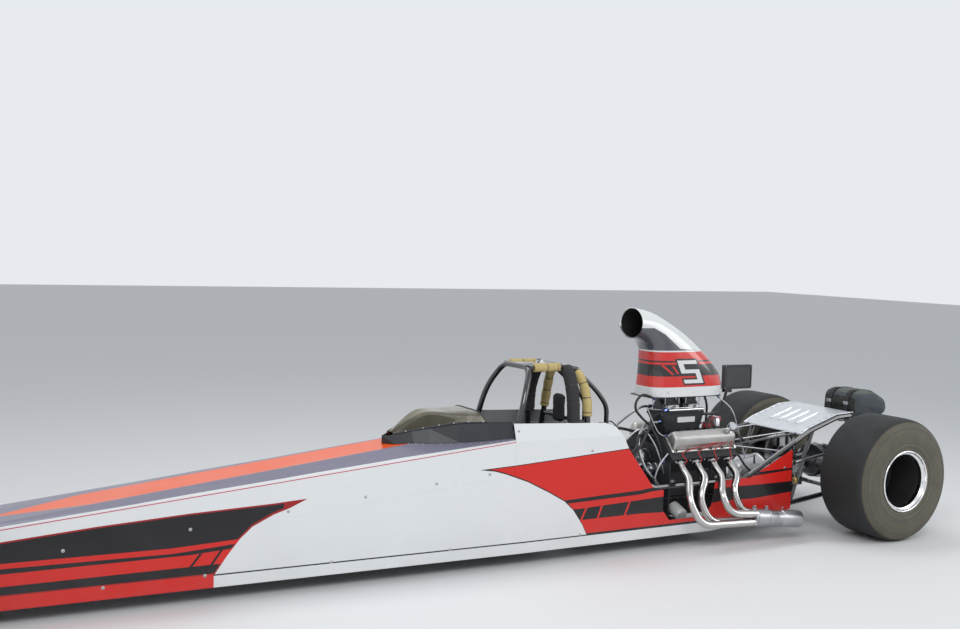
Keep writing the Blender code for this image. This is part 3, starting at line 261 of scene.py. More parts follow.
# %% Blotches, streaks and grain
def build_blotches():
    """Soft noise pushed through a ramp: 0 where clean, 1 where marked."""
    group, source, drain = new_group(
        "blotches", [("Scale", "Float", 6.0), ("Cover", "Float", 0.5), ("Soft", "Float", 0.15)],
        [("Mask", "Float", None)])
    place = group.nodes.new("ShaderNodeTexCoord").outputs["Object"]
    noise = wire(group, "ShaderNodeTexNoise", {"Vector": place, "Scale": source.outputs["Scale"],
                                               "Detail": 6.0, "Roughness": 0.62})
    low = sum_up(group, "SUBTRACT", source.outputs["Cover"], source.outputs["Soft"])
    high = sum_up(group, "ADD", source.outputs["Cover"], source.outputs["Soft"])
    ramp = wire(group, "ShaderNodeMapRange", {"Value": noise.outputs["Fac"], "From Min": low,
                                              "From Max": high})
    group.links.new(ramp.outputs["Result"], drain.inputs["Mask"])
    return group


def build_streaks():
    """Noise stretched along one axis by a Mapping node, as a brush leaves it."""
    group, source, drain = new_group(
        "streaks", [("Stretch", "Vector", (2.0, 120.0, 120.0)), ("Depth", "Float", 0.4)],
        [("Value", "Float", None), ("Height", "Float", None)])
    place = group.nodes.new("ShaderNodeTexCoord").outputs["Object"]
    scaled = wire(group, "ShaderNodeVectorMath", {0: place, 1: source.outputs["Stretch"]},
                  operation="MULTIPLY")
    noise = wire(group, "ShaderNodeTexNoise", {"Vector": scaled.outputs[0], "Scale": 1.0, "Detail": 3.0})
    group.links.new(noise.outputs["Fac"], drain.inputs["Value"])
    deep = sum_up(group, "MULTIPLY", noise.outputs["Fac"], source.outputs["Depth"])
    group.links.new(deep, drain.inputs["Height"])
    return group


def build_grain():
    """Two layers of fine noise, one for tooth and one for slow unevenness."""
    group, source, drain = new_group(
        "grain", [("Scale", "Float", 400.0), ("Depth", "Float", 1.0)],
        [("Value", "Float", None), ("Height", "Float", None)])
    place = group.nodes.new("ShaderNodeTexCoord").outputs["Object"]
    fine = wire(group, "ShaderNodeTexNoise", {"Vector": place, "Scale": source.outputs["Scale"],
                                              "Detail": 2.0})
    slow = wire(group, "ShaderNodeTexNoise", {"Vector": place, "Scale": 9.0, "Detail": 4.0})
    group.links.new(slow.outputs["Fac"], drain.inputs["Value"])
    deep = sum_up(group, "MULTIPLY", fine.outputs["Fac"], source.outputs["Depth"])
    group.links.new(deep, drain.inputs["Height"])
    return group


GROUPS = {"blotches": build_blotches(), "streaks": build_streaks(), "grain": build_grain()}
print("groups:", ", ".join(GROUPS))


# %% One material
LOOKS = {}


def finish(name, colour, rough, metal=0.0, coat=0.0, **extra):
    """A Principled material with plain values, kept in LOOKS under its name.
    Returns its node tree and its shader."""
    made = LOOKS[name] = bpy.data.materials.new(name)
    made.use_nodes = True
    shader = made.node_tree.nodes["Principled BSDF"]
    shader.inputs["Base Color"].default_value = (*colour, 1)
    shader.inputs["Roughness"].default_value = rough
    shader.inputs["Metallic"].default_value = metal
    shader.inputs["Coat Weight"].default_value = coat
    shader.inputs["Coat Roughness"].default_value = 0.03
    for label, value in extra.items():
        shader.inputs[label.replace("_", " ")].default_value = value
    return made.node_tree, shader


def use(tree, group, **values):
    """Places one of the groups with its own numbers."""
    node = tree.nodes.new("ShaderNodeGroup")
    node.node_tree = GROUPS[group]
    for label, value in values.items():
        node.inputs[label].default_value = value
    return node


def spread(tree, shader, socket, low, high, value):
    """Maps a 0 to 1 value onto a shader socket between low and high."""
    ramp = wire(tree, "ShaderNodeMapRange", {"Value": value, "To Min": low, "To Max": high})
    tree.links.new(ramp.outputs["Result"], shader.inputs[socket])


def stained(tree, shader, mask, below, above):
    """The base colour: `below`, with `above` laid over it by a mask."""
    tree.links.new(over(tree, mask, below, above), shader.inputs["Base Color"])


def dented(tree, shader, height, distance):
    """A Bump node feeding the shader's normal."""
    bump = wire(tree, "ShaderNodeBump", {"Height": height, "Distance": distance, "Strength": 1.0})
    tree.links.new(bump.outputs["Normal"], shader.inputs["Normal"])


# %% Plain finishes
def brushed_metal(name, colour, rough, stretch, tooth=0.00004):
    """Bare metal with drawn streaks in its roughness and a little dirt."""
    tree, shader = finish(name, colour, rough, 1.0)
    streaks = use(tree, "streaks", Stretch=stretch)
    spread(tree, shader, "Roughness", rough * 0.7, rough * 1.5, streaks.outputs["Value"])
    dirt = use(tree, "blotches", Scale=14.0, Cover=0.62, Soft=0.2)
    dark = tuple(c * 0.82 for c in colour)
    stained(tree, shader, dirt.outputs["Mask"], colour, dark)
    dented(tree, shader, streaks.outputs["Height"], tooth)


def polished(name, colour, rough, smear):
    """Chrome or polished metal: clean, with faint smears that blur it."""
    tree, shader = finish(name, colour, rough, 1.0)
    marks = use(tree, "blotches", Scale=22.0, Cover=0.55, Soft=0.25)
    spread(tree, shader, "Roughness", rough, smear, marks.outputs["Mask"])


def cast(name, colour, rough, metal, tooth=0.0004, scale=320.0):
    """Cast, powder coated or moulded: fine tooth and slow unevenness."""
    tree, shader = finish(name, colour, rough, metal)
    grain = use(tree, "grain", Scale=scale)
    spread(tree, shader, "Roughness", rough * 0.85, min(1.0, rough * 1.2), grain.outputs["Value"])
    light = tuple(min(1.0, c * 1.35 + 0.004) for c in colour)
    stained(tree, shader, grain.outputs["Value"], colour, light)
    dented(tree, shader, grain.outputs["Height"], tooth)


def glossy_paint(name, colour, rough=0.22, dust=0.1):
    """Paint under clear coat, with dust that dulls it in patches."""
    tree, shader = finish(name, colour, rough, coat=1.0)
    film = use(tree, "blotches", Scale=3.5, Cover=0.56, Soft=0.22)
    spread(tree, shader, "Roughness", rough, rough + dust * 2, film.outputs["Mask"])
    grey = tuple(c * (1 - dust) + 0.2 * dust for c in colour)
    stained(tree, shader, film.outputs["Mask"], colour, grey)


glossy_paint("gloss_black", (0.01, 0.01, 0.013), 0.16, 0.04)
cast("cowl_black", (0.014, 0.016, 0.021), 0.4, 0.0, 0.00005)
cast("satin_black", (0.018, 0.019, 0.021), 0.45, 0.0)
cast("cast_black", (0.025, 0.026, 0.028), 0.55, 0.3, 0.0008)
brushed_metal("aluminium", (0.7, 0.71, 0.72), 0.28, (3.0, 90.0, 90.0))
brushed_metal("deck_aluminium", (0.74, 0.76, 0.79), 0.3, (4.0, 160.0, 40.0))
brushed_metal("machined", (0.66, 0.67, 0.69), 0.22, (120.0, 6.0, 120.0))
cast("cast_aluminium", (0.52, 0.53, 0.54), 0.42, 1.0, 0.0009, 260.0)
brushed_metal("steel", (0.46, 0.47, 0.49), 0.3, (60.0, 60.0, 60.0))
polished("chrome", (0.58, 0.59, 0.6), 0.07, 0.18)
polished("bright_rim", (0.86, 0.86, 0.87), 0.09, 0.24)
cast("rubber_hose", (0.013, 0.013, 0.014), 0.5, 0.0, 0.0003, 600.0)
cast("foam_tan", (0.46, 0.36, 0.15), 0.8, 0.0, 0.0012, 240.0)
cast("black_cloth", (0.014, 0.014, 0.016), 0.88, 0.0, 0.0008, 900.0)
cast("dark_inside", (0.006, 0.006, 0.007), 0.7, 0.0)
print(len(LOOKS), "plain finishes")

# %% [markdown]
# ## Body paint
# The sides carry two spears, one reaching back from the nose and one reaching
# ahead from the engine, with stripes and short slashes inside them. On the
# real car they are wrapped film. A picture could be mapped on, but an edge
# would blur close up. Here each edge of the scheme is a line, height against
# station, kept in a Float Curve node, and a colour is chosen by comparing the
# point's height with the lines. The result stays sharp at any distance.


# %% Painted edges
def height_line(tree, x, points):
    """Height of a painted edge at station x: straight runs between the given
    (station, height) points, held level past both ends."""
    points = sorted(points)
    stations, heights = [p[0] for p in points], [p[1] for p in points]
    base, crest = min(heights) - 0.001, max(heights) + 0.001
    share = wire(tree, "ShaderNodeMapRange", {"Value": x, "From Min": stations[0], "From Max": stations[-1]})
    curve = tree.nodes.new("ShaderNodeFloatCurve")
    line = curve.mapping.curves[0]
    spots = [((s - stations[0]) / (stations[-1] - stations[0]), (h - base) / (crest - base))
             for s, h in points]
    line.points[0].location, line.points[1].location = spots[0], spots[-1]
    for spot in spots[1:-1]:
        line.points.new(*spot)
    for point in line.points:
        point.handle_type = "VECTOR"
    curve.mapping.update()
    tree.links.new(share.outputs["Result"], curve.inputs["Value"])
    return wire(tree, "ShaderNodeMapRange", {"Value": curve.outputs[0], "To Min": base,
                                             "To Max": crest}).outputs["Result"]


def below(tree, value, limit):
    """1 where value is less than limit."""
    return sum_up(tree, "LESS_THAN", value, limit)


def both_of(tree, *masks):
    """Product of masks."""
    total = masks[0]
    for mask in masks[1:]:
        total = sum_up(tree, "MULTIPLY", total, mask)
    return total


def within(tree, *pairs):
    """1 where the first value of each pair is less than the second."""
    return both_of(tree, *(below(tree, low, high) for low, high in pairs))


def band(tree, x, z, low_line, high_line):
    """1 between two lines."""
    return within(tree, (z, height_line(tree, x, high_line)), (height_line(tree, x, low_line), z))


def slash(tree, x, z, top, bottom, width):
    """1 within half a width of the straight line from top to bottom, measured
    square to it: |(x - x0) dz - (z - z0) dx| / length."""
    run = (top[0] - bottom[0], top[1] - bottom[1])
    length = math.hypot(*run)
    along_x = sum_up(tree, "MULTIPLY", sum_up(tree, "SUBTRACT", x, bottom[0]), run[1] / length)
    along_z = sum_up(tree, "MULTIPLY", sum_up(tree, "SUBTRACT", z, bottom[1]), run[0] / length)
    away = sum_up(tree, "ABSOLUTE", sum_up(tree, "SUBTRACT", along_x, along_z))
    return within(tree, (away, width / 2), (bottom[1], z), (z, top[1]))


# %% Colours of the scheme
PAINT = {"white": (0.76, 0.78, 0.79), "red": (0.66, 0.02, 0.014), "dark_red": (0.34, 0.012, 0.014),
         "black": (0.011, 0.011, 0.013), "orange": (0.93, 0.115, 0.01), "purple": (0.2, 0.195, 0.27),
         "pin": (0.55, 0.03, 0.09)}

# %% Lines of the front spear: (station, height)
FRONT_TOP = [(4.198, 0.538), (4.395, 0.525), (4.858, 0.506), (5.333, 0.476), (5.795, 0.437),
             (6.25, 0.395), (6.47, 0.335), (6.65, 0.245), (6.82, 0.12)]
FRONT_TAIL = [(4.198, 0.538), (4.298, 0.493), (4.394, 0.462), (4.512, 0.405), (4.581, 0.343),
              (4.649, 0.258), (4.689, 0.201), (4.722, 0.152)]
FRONT_BANDS = [
    ([(4.512, 0.33), (4.592, 0.32), (4.742, 0.308), (4.944, 0.295), (5.794, 0.3)],
     [(4.512, 0.352), (4.581, 0.343), (4.743, 0.335), (4.945, 0.325), (5.794, 0.327)]),
    ([(4.6, 0.216), (4.854, 0.215), (5.794, 0.209)],
     [(4.6, 0.295), (4.855, 0.279), (5.794, 0.273)]),
]
FRONT_SLASHES = [((4.793, 0.282), (4.848, 0.213)), ((4.682, 0.29), (4.741, 0.207))]

# %% Lines of the rear spear and the panel beside the engine
REAR_TOP = [(0.4, 0.8), (1.8, 0.713), (2.024, 0.699), (2.462, 0.67), (2.858, 0.644), (3.113, 0.63)]
REAR_TAIL = [(2.324, 0.16), (2.36, 0.229), (2.431, 0.327), (2.499, 0.388), (2.615, 0.453),
             (2.777, 0.534), (2.932, 0.592), (3.008, 0.614), (3.113, 0.63)]
REAR_THIN = ([(0.596, 0.458), (0.913, 0.441), (1.4, 0.415), (1.812, 0.399), (1.908, 0.387), (2.199, 0.38),
              (2.495, 0.373)],
             [(0.596, 0.473), (0.913, 0.463), (1.4, 0.44), (1.825, 0.423), (1.909, 0.414), (2.2, 0.406),
              (2.496, 0.395)])
REAR_BLOCK = ([(0.591, 0.3), (0.913, 0.281), (1.218, 0.286), (1.724, 0.252), (1.902, 0.259),
               (2.193, 0.259), (2.362, 0.258)],
              [(0.596, 0.377), (0.919, 0.376), (1.224, 0.379), (1.729, 0.357), (1.906, 0.35),
               (2.197, 0.339), (2.381, 0.332)])
REAR_SLASHES = [((2.325, 0.345), (2.373, 0.25)), ((2.207, 0.345), (2.244, 0.25)),
                ((1.986, 0.355), (2.03, 0.25))]
SILL, SILL_STEP = 0.16, 4.722  # top of the painted sill, and where it turns red
COVER_FROM = 2.868  # rear edge of the top cover


# %% The scheme as one group
def build_scheme():
    """Colour of the body at a point. Side scheme below the crease line, top
    scheme above it."""
    group, _, drain = new_group("body_scheme", [], [("Color", "Color", None), ("Film", "Float", None)])
    x, y, z = where(group)
    y = sum_up(group, "ABSOLUTE", y)
    colour = PAINT["white"]

    # Front spear: dark red edge, black field, red stripes, dark slashes
    top, tail = height_line(group, x, FRONT_TOP), height_line(group, x, FRONT_TAIL)
    inside = within(group, (z, top), (tail, z), (4.2, x))
    colour = over(group, inside, colour, PAINT["dark_red"])
    field = within(group, (z, sum_up(group, "SUBTRACT", top, 0.009)),
                   (sum_up(group, "ADD", tail, 0.014), z), (4.335, x))
    colour = over(group, field, colour, PAINT["black"])
    for low_line, high_line in FRONT_BANDS:
        stripe = both_of(group, inside, band(group, x, z, low_line, high_line))
        colour = over(group, stripe, colour, PAINT["red"])
    for high, low in FRONT_SLASHES:
        colour = over(group, slash(group, x, z, high, low, 0.013), colour, PAINT["black"])
    foot = within(group, (z, SILL), (SILL_STEP, x))
    colour = over(group, foot, colour, PAINT["red"])

    # Rear spear: black edge, red field, thin black line, black block, red slashes
    top, tail = height_line(group, x, REAR_TOP), height_line(group, x, REAR_TAIL)
    inside = within(group, (z, top), (tail, z), (x, REAR_TOP[-1][0]), (SILL, z))
    colour = over(group, inside, colour, PAINT["black"])
    field = both_of(group, inside, within(group, (z, sum_up(group, "SUBTRACT", top, 0.005)),
                                          (sum_up(group, "ADD", tail, 0.008), z), (x, 3.085)))
    colour = over(group, field, colour, PAINT["red"])
    for low_line, high_line in (REAR_THIN, REAR_BLOCK):
        stripe = both_of(group, inside, band(group, x, z, low_line, high_line))
        colour = over(group, stripe, colour, PAINT["black"])
    for high, low in REAR_SLASHES:
        colour = over(group, slash(group, x, z, high, low, 0.014), colour, PAINT["red"])
    sill = within(group, (z, SILL), (0.152, z), (x, SILL_STEP))
    colour = over(group, sill, colour, PAINT["black"])

    # Pinstripe just below the crease, then the top: a white edge along the crease that is a painted
    # highlight, purple, orange
    fold = sum_up(group, "MULTIPLY_ADD", x, crease(1) - crease(0), crease(0))
    pin = within(group, (sum_up(group, "SUBTRACT", fold, 0.011), z),
                 (z, sum_up(group, "SUBTRACT", fold, 0.006)), (COVER_FROM, x))
    colour = over(group, pin, colour, PAINT["pin"])
    # The white left between the pinstripe and the purple, 4 mm below the fold and the edge strip above it, is
    # a painted highlight along the crease.
    above = within(group, (sum_up(group, "SUBTRACT", fold, 0.002), z), (COVER_FROM, x))
    half = height_line(group, x, [(2.8, 0.345), (6.1, 0.25), (6.4, 0.241)])
    edge = height_line(group, x, [(2.9, 0.01), (3.6, 0.03), (6.4, 0.03)])
    grey = both_of(group, above, below(group, y, sum_up(group, "SUBTRACT", half, edge)))
    colour = over(group, grey, colour, PAINT["purple"])
    centre = height_line(group, x, [(3.4, 0.132), (5.35, 0.128), (5.85, 0.0), (6.5, -0.01)])
    ahead = both_of(group, above, within(group, (3.4, x), (y, centre)))
    colour = over(group, ahead, colour, PAINT["orange"])

    film = use(group, "blotches", Scale=2.6, Cover=0.55, Soft=0.25)
    group.links.new(colour, drain.inputs["Color"])
    group.links.new(film.outputs["Mask"], drain.inputs["Film"])
    return group


GROUPS["body_scheme"] = build_scheme()


# %% Body paint material
def body_paint():
    """The scheme under clear coat. Dust greys it a little towards the sill, and
    the panels' inner faces, whose normals look at the centre line, are bare."""
    tree, shader = finish("body_paint", PAINT["white"], 0.28, coat=0.2, Specular_IOR_Level=0.25)
    scheme = use(tree, "body_scheme")
    _, y, z = where(tree)
    low = wire(tree, "ShaderNodeMapRange", {"Value": z, "From Min": 0.45, "From Max": 0.1,
                                            "To Min": 0.03, "To Max": 0.16})
    dust = sum_up(tree, "MULTIPLY", scheme.outputs["Film"], low.outputs["Result"])
    outside = over(tree, dust, scheme.outputs["Color"], (0.26, 0.25, 0.24))
    normal = wire(tree, "ShaderNodeNewGeometry", {}).outputs["Normal"]
    facing = wire(tree, "ShaderNodeSeparateXYZ", {0: normal})
    inner = below(tree, sum_up(tree, "MULTIPLY", facing.outputs["Y"], y), -0.12)
    stained(tree, shader, inner, outside, (0.33, 0.34, 0.35))
    spread(tree, shader, "Roughness", 0.24, 0.42, scheme.outputs["Film"])


body_paint()
PAINTED = [name for name in NODES if name.split("_")[0] in ("side", "nose", "top")]
print("painted:", ", ".join(PAINTED))

# %% [markdown]
# ## Finishes on the solid nodes
# Every node of the frame that stays in view takes one of the finishes. The
# table is read once, and a node that a finer surface replaces later just
# keeps its finish out of sight.

# %% Which finish goes on which node
FINISH_OF = {
    "body_paint": PAINTED,
    "cowl_black": ["cowl"],
    "gloss_black": ["roll_cage", "rear_axle", "frame_rear_left", "frame_rear_right"],
    "satin_black": ["frame_front_left", "frame_front_right",
                    "pack_tray", "dash_panel", "motor_plate", "dial_board", "belly_pan"],
    "cast_black": ["engine_block", "intake_manifold", "steering_wheel"],
    "aluminium": ["firewall", "front_drive"],
    "cast_aluminium": ["valve_cover_left", "valve_cover_right", "carburettors", "transmission"],
    "deck_aluminium": ["rear_deck"],
    "steel": ["knuckle_left", "knuckle_right", "tie_rod"],
    "machined": ["radius_rod_left", "radius_rod_right"],
    "chrome": ["header_left", "header_right", "front_axle"],
    "bright_rim": ["rim_rear_left", "rim_rear_right", "rim_front_left", "rim_front_right"],
    "foam_tan": ["cage_pad_left", "cage_pad_right"],
    "black_cloth": ["head_pad", "seat", "parachute_pack"],
    "rubber_hose": ["tyre_rear_left", "tyre_rear_right", "tyre_front_left", "tyre_front_right"],
}


def dress(name, look):
    """Gives a node of the frame its one finish."""
    NODES[name].data.materials.clear()
    NODES[name].data.materials.append(LOOKS[look])


for look, names in FINISH_OF.items():
    for name in names:
        dress(name, look)
print("without a finish yet:", sorted(set(NODES) - {n for names in FINISH_OF.values() for n in names}))

# %% [markdown]
# ## Surface helpers
# Nearly every finer piece is one of five shapes: a grid of points, a profile
# spun about an axis, a tube along a path, a plate with broken edges, or a
# small stud repeated. Each is worked out as whole arrays and put into one
# mesh per piece, so a piece with many parts still moves as one.


# %% Grids
def quads(rows, cols, wrap_rows=False, wrap_cols=False):
    """Faces of a grid stored row by row: a point, its neighbour along the row,
    the one above that, and the one above itself."""
    row, col = np.meshgrid(np.arange(rows if wrap_rows else rows - 1),
                           np.arange(cols if wrap_cols else cols - 1), indexing="ij")
    above, beside = (row + 1) % rows, (col + 1) % cols
    return np.stack([row * cols + col, row * cols + beside, above * cols + beside,
                     above * cols + col], -1).reshape(-1, 4)


def grid(points, wrap_rows=False, wrap_cols=False, caps=False):
    """A surface, as (points, faces), from an array of rows by columns by 3.
    Caps close the first and last row with one face each."""
    rows, cols = points.shape[:2]
    faces = quads(rows, cols, wrap_rows, wrap_cols).tolist()
    if caps:
        faces += [list(range(cols))[::-1], list(range((rows - 1) * cols, rows * cols))]
    return points.reshape(-1, 3), faces


def unit(vectors):
    """Vectors scaled to length 1."""
    return vectors / np.maximum(np.linalg.norm(vectors, axis=-1, keepdims=True), 1e-12)


def full_turn(count):
    """Evenly spaced angles round a circle."""
    return np.linspace(0, 2 * np.pi, count, endpoint=False)


def turned(profile, centre, axis=(0, 1, 0), sides=64, hollow=False):
    """(radius, along) points spun about an axis: centre + along * axis +
    radius * (cos t * u + sin t * v). A hollow profile closes on itself,
    any other one starts and ends on the axis."""
    profile, axis = np.asarray(profile, float), unit(np.asarray(axis, float))
    u = unit(np.cross(axis, (0.0, 0.0, 1.0) if abs(axis[2]) < 0.9 else (1.0, 0.0, 0.0)))
    v = np.cross(axis, u)
    t = full_turn(sides)[:, None]
    ring = np.cos(t) * u + np.sin(t) * v
    points = np.asarray(centre) + profile[:, 1, None, None] * axis + profile[:, 0, None, None] * ring
    return grid(points, wrap_rows=hollow, wrap_cols=True)


# %% Paths and tubes
def rounded(points, reach, steps=5, closed=False):
    """Each corner P becomes (1-t)^2 A + 2t(1-t) P + t^2 B, where A and B lie on
    its two edges, `reach` away from it."""
    points = np.asarray(points, float)
    reach = np.broadcast_to(reach, len(points))[:, None]

    def toward(other):
        """Each point moved by `reach` towards its neighbour."""
        way = other - points
        length = np.maximum(np.linalg.norm(way, axis=1, keepdims=True), 1e-9)
        return points + way * np.minimum(reach / length, 0.45)

    start, end = toward(np.roll(points, 1, 0)), toward(np.roll(points, -1, 0))
    t = np.linspace(0, 1, steps)[None, :, None]
    arcs = (1 - t) ** 2 * start[:, None] + 2 * t * (1 - t) * points[:, None] + t ** 2 * end[:, None]
    if closed:
        return arcs.reshape(-1, points.shape[1])
    return np.concatenate([points[:1], arcs[1:-1].reshape(-1, points.shape[1]), points[-1:]])


def smooth(points, steps=8):
    """Catmull-Rom curve through the points: on each run a cubic whose slope at
    a point is half the way from the point before it to the one after."""
    p = np.asarray(points, float)
    p = np.concatenate([2 * p[:1] - p[1:2], p, 2 * p[-1:] - p[-2:-1]])
    t = np.linspace(0, 1, steps, endpoint=False)[:, None, None]
    a, b, c, d = p[:-3], p[1:-2], p[2:-1], p[3:]
    runs = 0.5 * (2 * b + (c - a) * t + (2 * a - 5 * b + 4 * c - d) * t ** 2
                  + (3 * b - a - 3 * c + d) * t ** 3)
    return np.concatenate([runs.transpose(1, 0, 2).reshape(-1, p.shape[1]), p[-2:-1]])


def tube(path, radius, sides=14, caps=True):
    """A tube along a path. Two directions square to the path carry a circle; the
    reference that sets them is the trial direction least in line with the path."""
    path = np.asarray(path, float)
    run = unit(np.gradient(path, axis=0))
    trial = unit(np.array([(1, 0, 0.05), (0.05, 1, 0), (0, 0.05, 1), (1, 1, 0.8), (-1, 1, 0.8),
                           (1, -1, 0.8)]))
    reference = trial[np.abs(run @ trial.T).max(0).argmin()]
    u = unit(np.cross(run, reference))
    v = np.cross(run, u)
    t = full_turn(sides)[:, None]
    radius = np.broadcast_to(radius, len(path))[:, None, None]
    points = path[:, None] + radius * (np.cos(t) * u[:, None] + np.sin(t) * v[:, None])
    return grid(points, wrap_cols=True, caps=caps)


def rod(start, end, radius, sides=14):
    """A straight tube."""
    return tube([start, end], radius, sides)


def hose(points, radius, sides=12, steps=8):
    """A tube that runs smoothly through the points."""
    return tube(smooth(points, steps), radius, sides)


# %% Plates and studs
def inset(outline, depth):
    """Moves each corner of a closed outline inwards along the mitre of its edges."""
    p = np.asarray(outline, float)
    after = np.roll(p, -1, 0)
    turn = np.sign(np.sum(p[:, 0] * after[:, 1] - after[:, 0] * p[:, 1]))

    def square(edge):
        """The edges' normals, pointing inwards."""
        return unit(np.stack([-edge[:, 1], edge[:, 0]], 1)) * turn

    one, two = square(p - np.roll(p, 1, 0)), square(after - p)
    return p + depth * (one + two) / np.maximum(1 + np.sum(one * two, 1), 0.3)[:, None]


def plate(outline, axis, low, high, soften=0.001):
    """A flat plate between two levels of an axis, its edges broken by `soften`."""
    edge = np.asarray(outline, float)
    small = inset(edge, soften)
    levels = [(small, low), (edge, low + soften), (edge, high - soften), (small, high)]
    order = {"X": [2, 0, 1], "Y": [0, 2, 1], "Z": [0, 1, 2]}[axis]
    rows = np.stack([np.column_stack([ring, np.full(len(ring), level)])[:, order] for ring, level in levels])
    return grid(rows, wrap_cols=True, caps=True)


def oblong(left, low, right, high):
    """The four corners of a rectangle."""
    return [(left, low), (right, low), (right, high), (left, high)]


def hoop_strip(outline, axis, low, high, thick):
    """A closed flat band round an outline, between two levels of an axis."""
    ring, inner = np.asarray(outline, float), inset(outline, thick)
    rows = [np.insert(edge, "XYZ".index(axis), level, axis=1)
            for edge, level in ((ring, low), (ring, high), (inner, high), (inner, low))]
    return grid(np.stack(rows), wrap_rows=True, wrap_cols=True)


def block(low, high, soften=0.001, corner=0.0):
    """A box with broken edges and, if asked, rounded upright corners."""
    outline = oblong(*low[:2], *high[:2])
    if corner:
        outline = rounded(outline, corner, 5, closed=True)
    return plate(outline, "Z", low[2], high[2], soften)


def studs(spots, normal, radius=0.006, height=0.002, sides=10):
    """The same low dome at every spot, standing on `normal`."""
    spots = np.asarray(spots, float)
    n = unit(np.broadcast_to(np.asarray(normal, float), spots.shape))
    u = unit(np.cross(n, (0.31, 0.52, 0.79)))
    v = np.cross(n, u)
    t = full_turn(sides)[None, :, None]
    ring = np.cos(t) * u[:, None] + np.sin(t) * v[:, None]
    profile = np.array([(0, height), (radius * 0.7, height * 0.9), (radius, height * 0.3), (radius, -height),
                        (0, -height)])
    points = (spots[:, None, None] + profile[None, :, 1, None, None] * n[:, None, None]
              + profile[None, :, 0, None, None] * ring[:, None])
    faces = quads(5, sides, wrap_cols=True)[None] + (np.arange(len(spots)) * 5 * sides)[:, None, None]
    return points.reshape(-1, 3), faces.reshape(-1, 4).tolist()


def mirrored(surfaces, side):
    """The same surfaces on the car's left (1) or right (-1)."""
    return [(points * (1, side, 1), faces) for points, faces in surfaces]


def paired(surfaces):
    """Surfaces of the left side, and the same on the right."""
    return mirrored(surfaces, 1) + mirrored(surfaces, -1)


def circle(centre, radius, count, axis="Y"):
    """Evenly spaced points round a centre, in the plane square to an axis."""
    t = full_turn(count)
    flat = np.stack([np.cos(t), np.sin(t)], 1)
    return np.asarray(centre) + radius * np.insert(flat, "XYZ".index(axis), 0, axis=1)


# %% One piece from many surfaces
def piece(name, parts, replaces=(), body="chassis", angle=35):
    """Joins surfaces, listed by finish and given by station, into one object.
    Doubles are merged and normals recalculated before the edges are smoothed."""
    mesh = bpy.data.meshes.new(name)
    points, faces, marks = [], [], []
    count = 0
    for index, (look, surfaces) in enumerate(parts.items()):
        mesh.materials.append(LOOKS[look])
        for spots, sides in surfaces:
            points.append(spots)
            faces += [[corner + count for corner in side] for side in sides]
            marks += [index] * len(sides)
            count += len(spots)
    mesh.from_pydata((np.concatenate(points) - (MID, 0, 0)).tolist(), [], faces)
    mesh.polygons.foreach_set("material_index", marks)
    shell = bmesh.new()
    shell.from_mesh(mesh)
    bmesh.ops.remove_doubles(shell, verts=shell.verts, dist=1e-6)
    bmesh.ops.recalc_face_normals(shell, faces=shell.faces)
    shell.to_mesh(mesh)
    shell.free()
    mesh.shade_smooth()
    mesh.set_sharp_from_angle(angle=math.radians(angle))
    made = bpy.data.objects.new(name, mesh)
    bpy.context.scene.collection.objects.link(made)
    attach(made, body)
    if replaces:
        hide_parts(*replaces)
    print(name, sum(len(f.vertices) - 2 for f in mesh.polygons), "triangles")
    return made


SIDES = (("left", 1), ("right", -1))

# %% [markdown]
# ## Rear slicks
# A slick is a wide soft drum: a nearly flat tread, a small shoulder and a
# sidewall that bulges and then tucks in under the rim's bead. It could be a
# torus with a subdivision surface, but a spun profile keeps the real section.
# Its finish is worked out from the distance to the axle: black worn tread
# with rubber crumbs, and a sidewall that dust has turned olive in rings.


# %% Tyre rubber
def build_wheel_rings():
    """Distance from the wheel's axle line, from Object coordinates."""
    group, source, drain = new_group("wheel_rings", [("Station", "Float", 0.0), ("Height", "Float", 0.434)],
                                     [("Radius", "Float", None), ("Ring", "Float", None)])
    x, _, z = where(group)
    across = sum_up(group, "SUBTRACT", x, source.outputs["Station"])
    upward = sum_up(group, "SUBTRACT", z, source.outputs["Height"])
    radius = sum_up(group, "SQRT", sum_up(group, "ADD", sum_up(group, "MULTIPLY", across, across),
                                          sum_up(group, "MULTIPLY", upward, upward)))
    group.links.new(radius, drain.inputs["Radius"])
    line = wire(group, "ShaderNodeTexNoise", {"W": sum_up(group, "MULTIPLY", radius, 60.0), "Scale": 1.0,
                                              "Detail": 3.0}, noise_dimensions="1D")
    group.links.new(line.outputs["Fac"], drain.inputs["Ring"])
    return group


GROUPS["wheel_rings"] = build_wheel_rings()


def tyre_rubber(name, axle, height, tread_from, wall, smear):
    """Rubber with a dusty ringed sidewall inside radius `tread_from`."""
    dark = (0.016, 0.017, 0.018)
    tree, shader = finish(name, dark, 0.7)
    rings = use(tree, "wheel_rings", Station=axle, Height=height)
    dust = wire(tree, "ShaderNodeMapRange", {"Value": rings.outputs["Ring"], "From Min": 0.42,
                                             "From Max": 0.62})
    patches = use(tree, "blotches", Scale=7.0, Cover=0.52, Soft=0.16)
    colour = over(tree, dust.outputs["Result"], wall, smear)
    shade = sum_up(tree, "MULTIPLY", patches.outputs["Mask"], 0.45)
    colour = over(tree, shade, colour, tuple(c * 0.55 for c in wall))
    tread = wire(tree, "ShaderNodeMapRange", {"Value": rings.outputs["Radius"],
                                              "From Min": tread_from - 0.012, "From Max": tread_from})
    stained(tree, shader, tread.outputs["Result"], colour, dark)
    grain = use(tree, "grain", Scale=520.0)
    spread(tree, shader, "Roughness", 0.55, 0.85, grain.outputs["Value"])
    worn = wire(tree, "ShaderNodeMath", {0: grain.outputs["Height"], 1: dust.outputs["Result"]},
                operation="ADD")
    dented(tree, shader, worn.outputs[0], 0.0005)


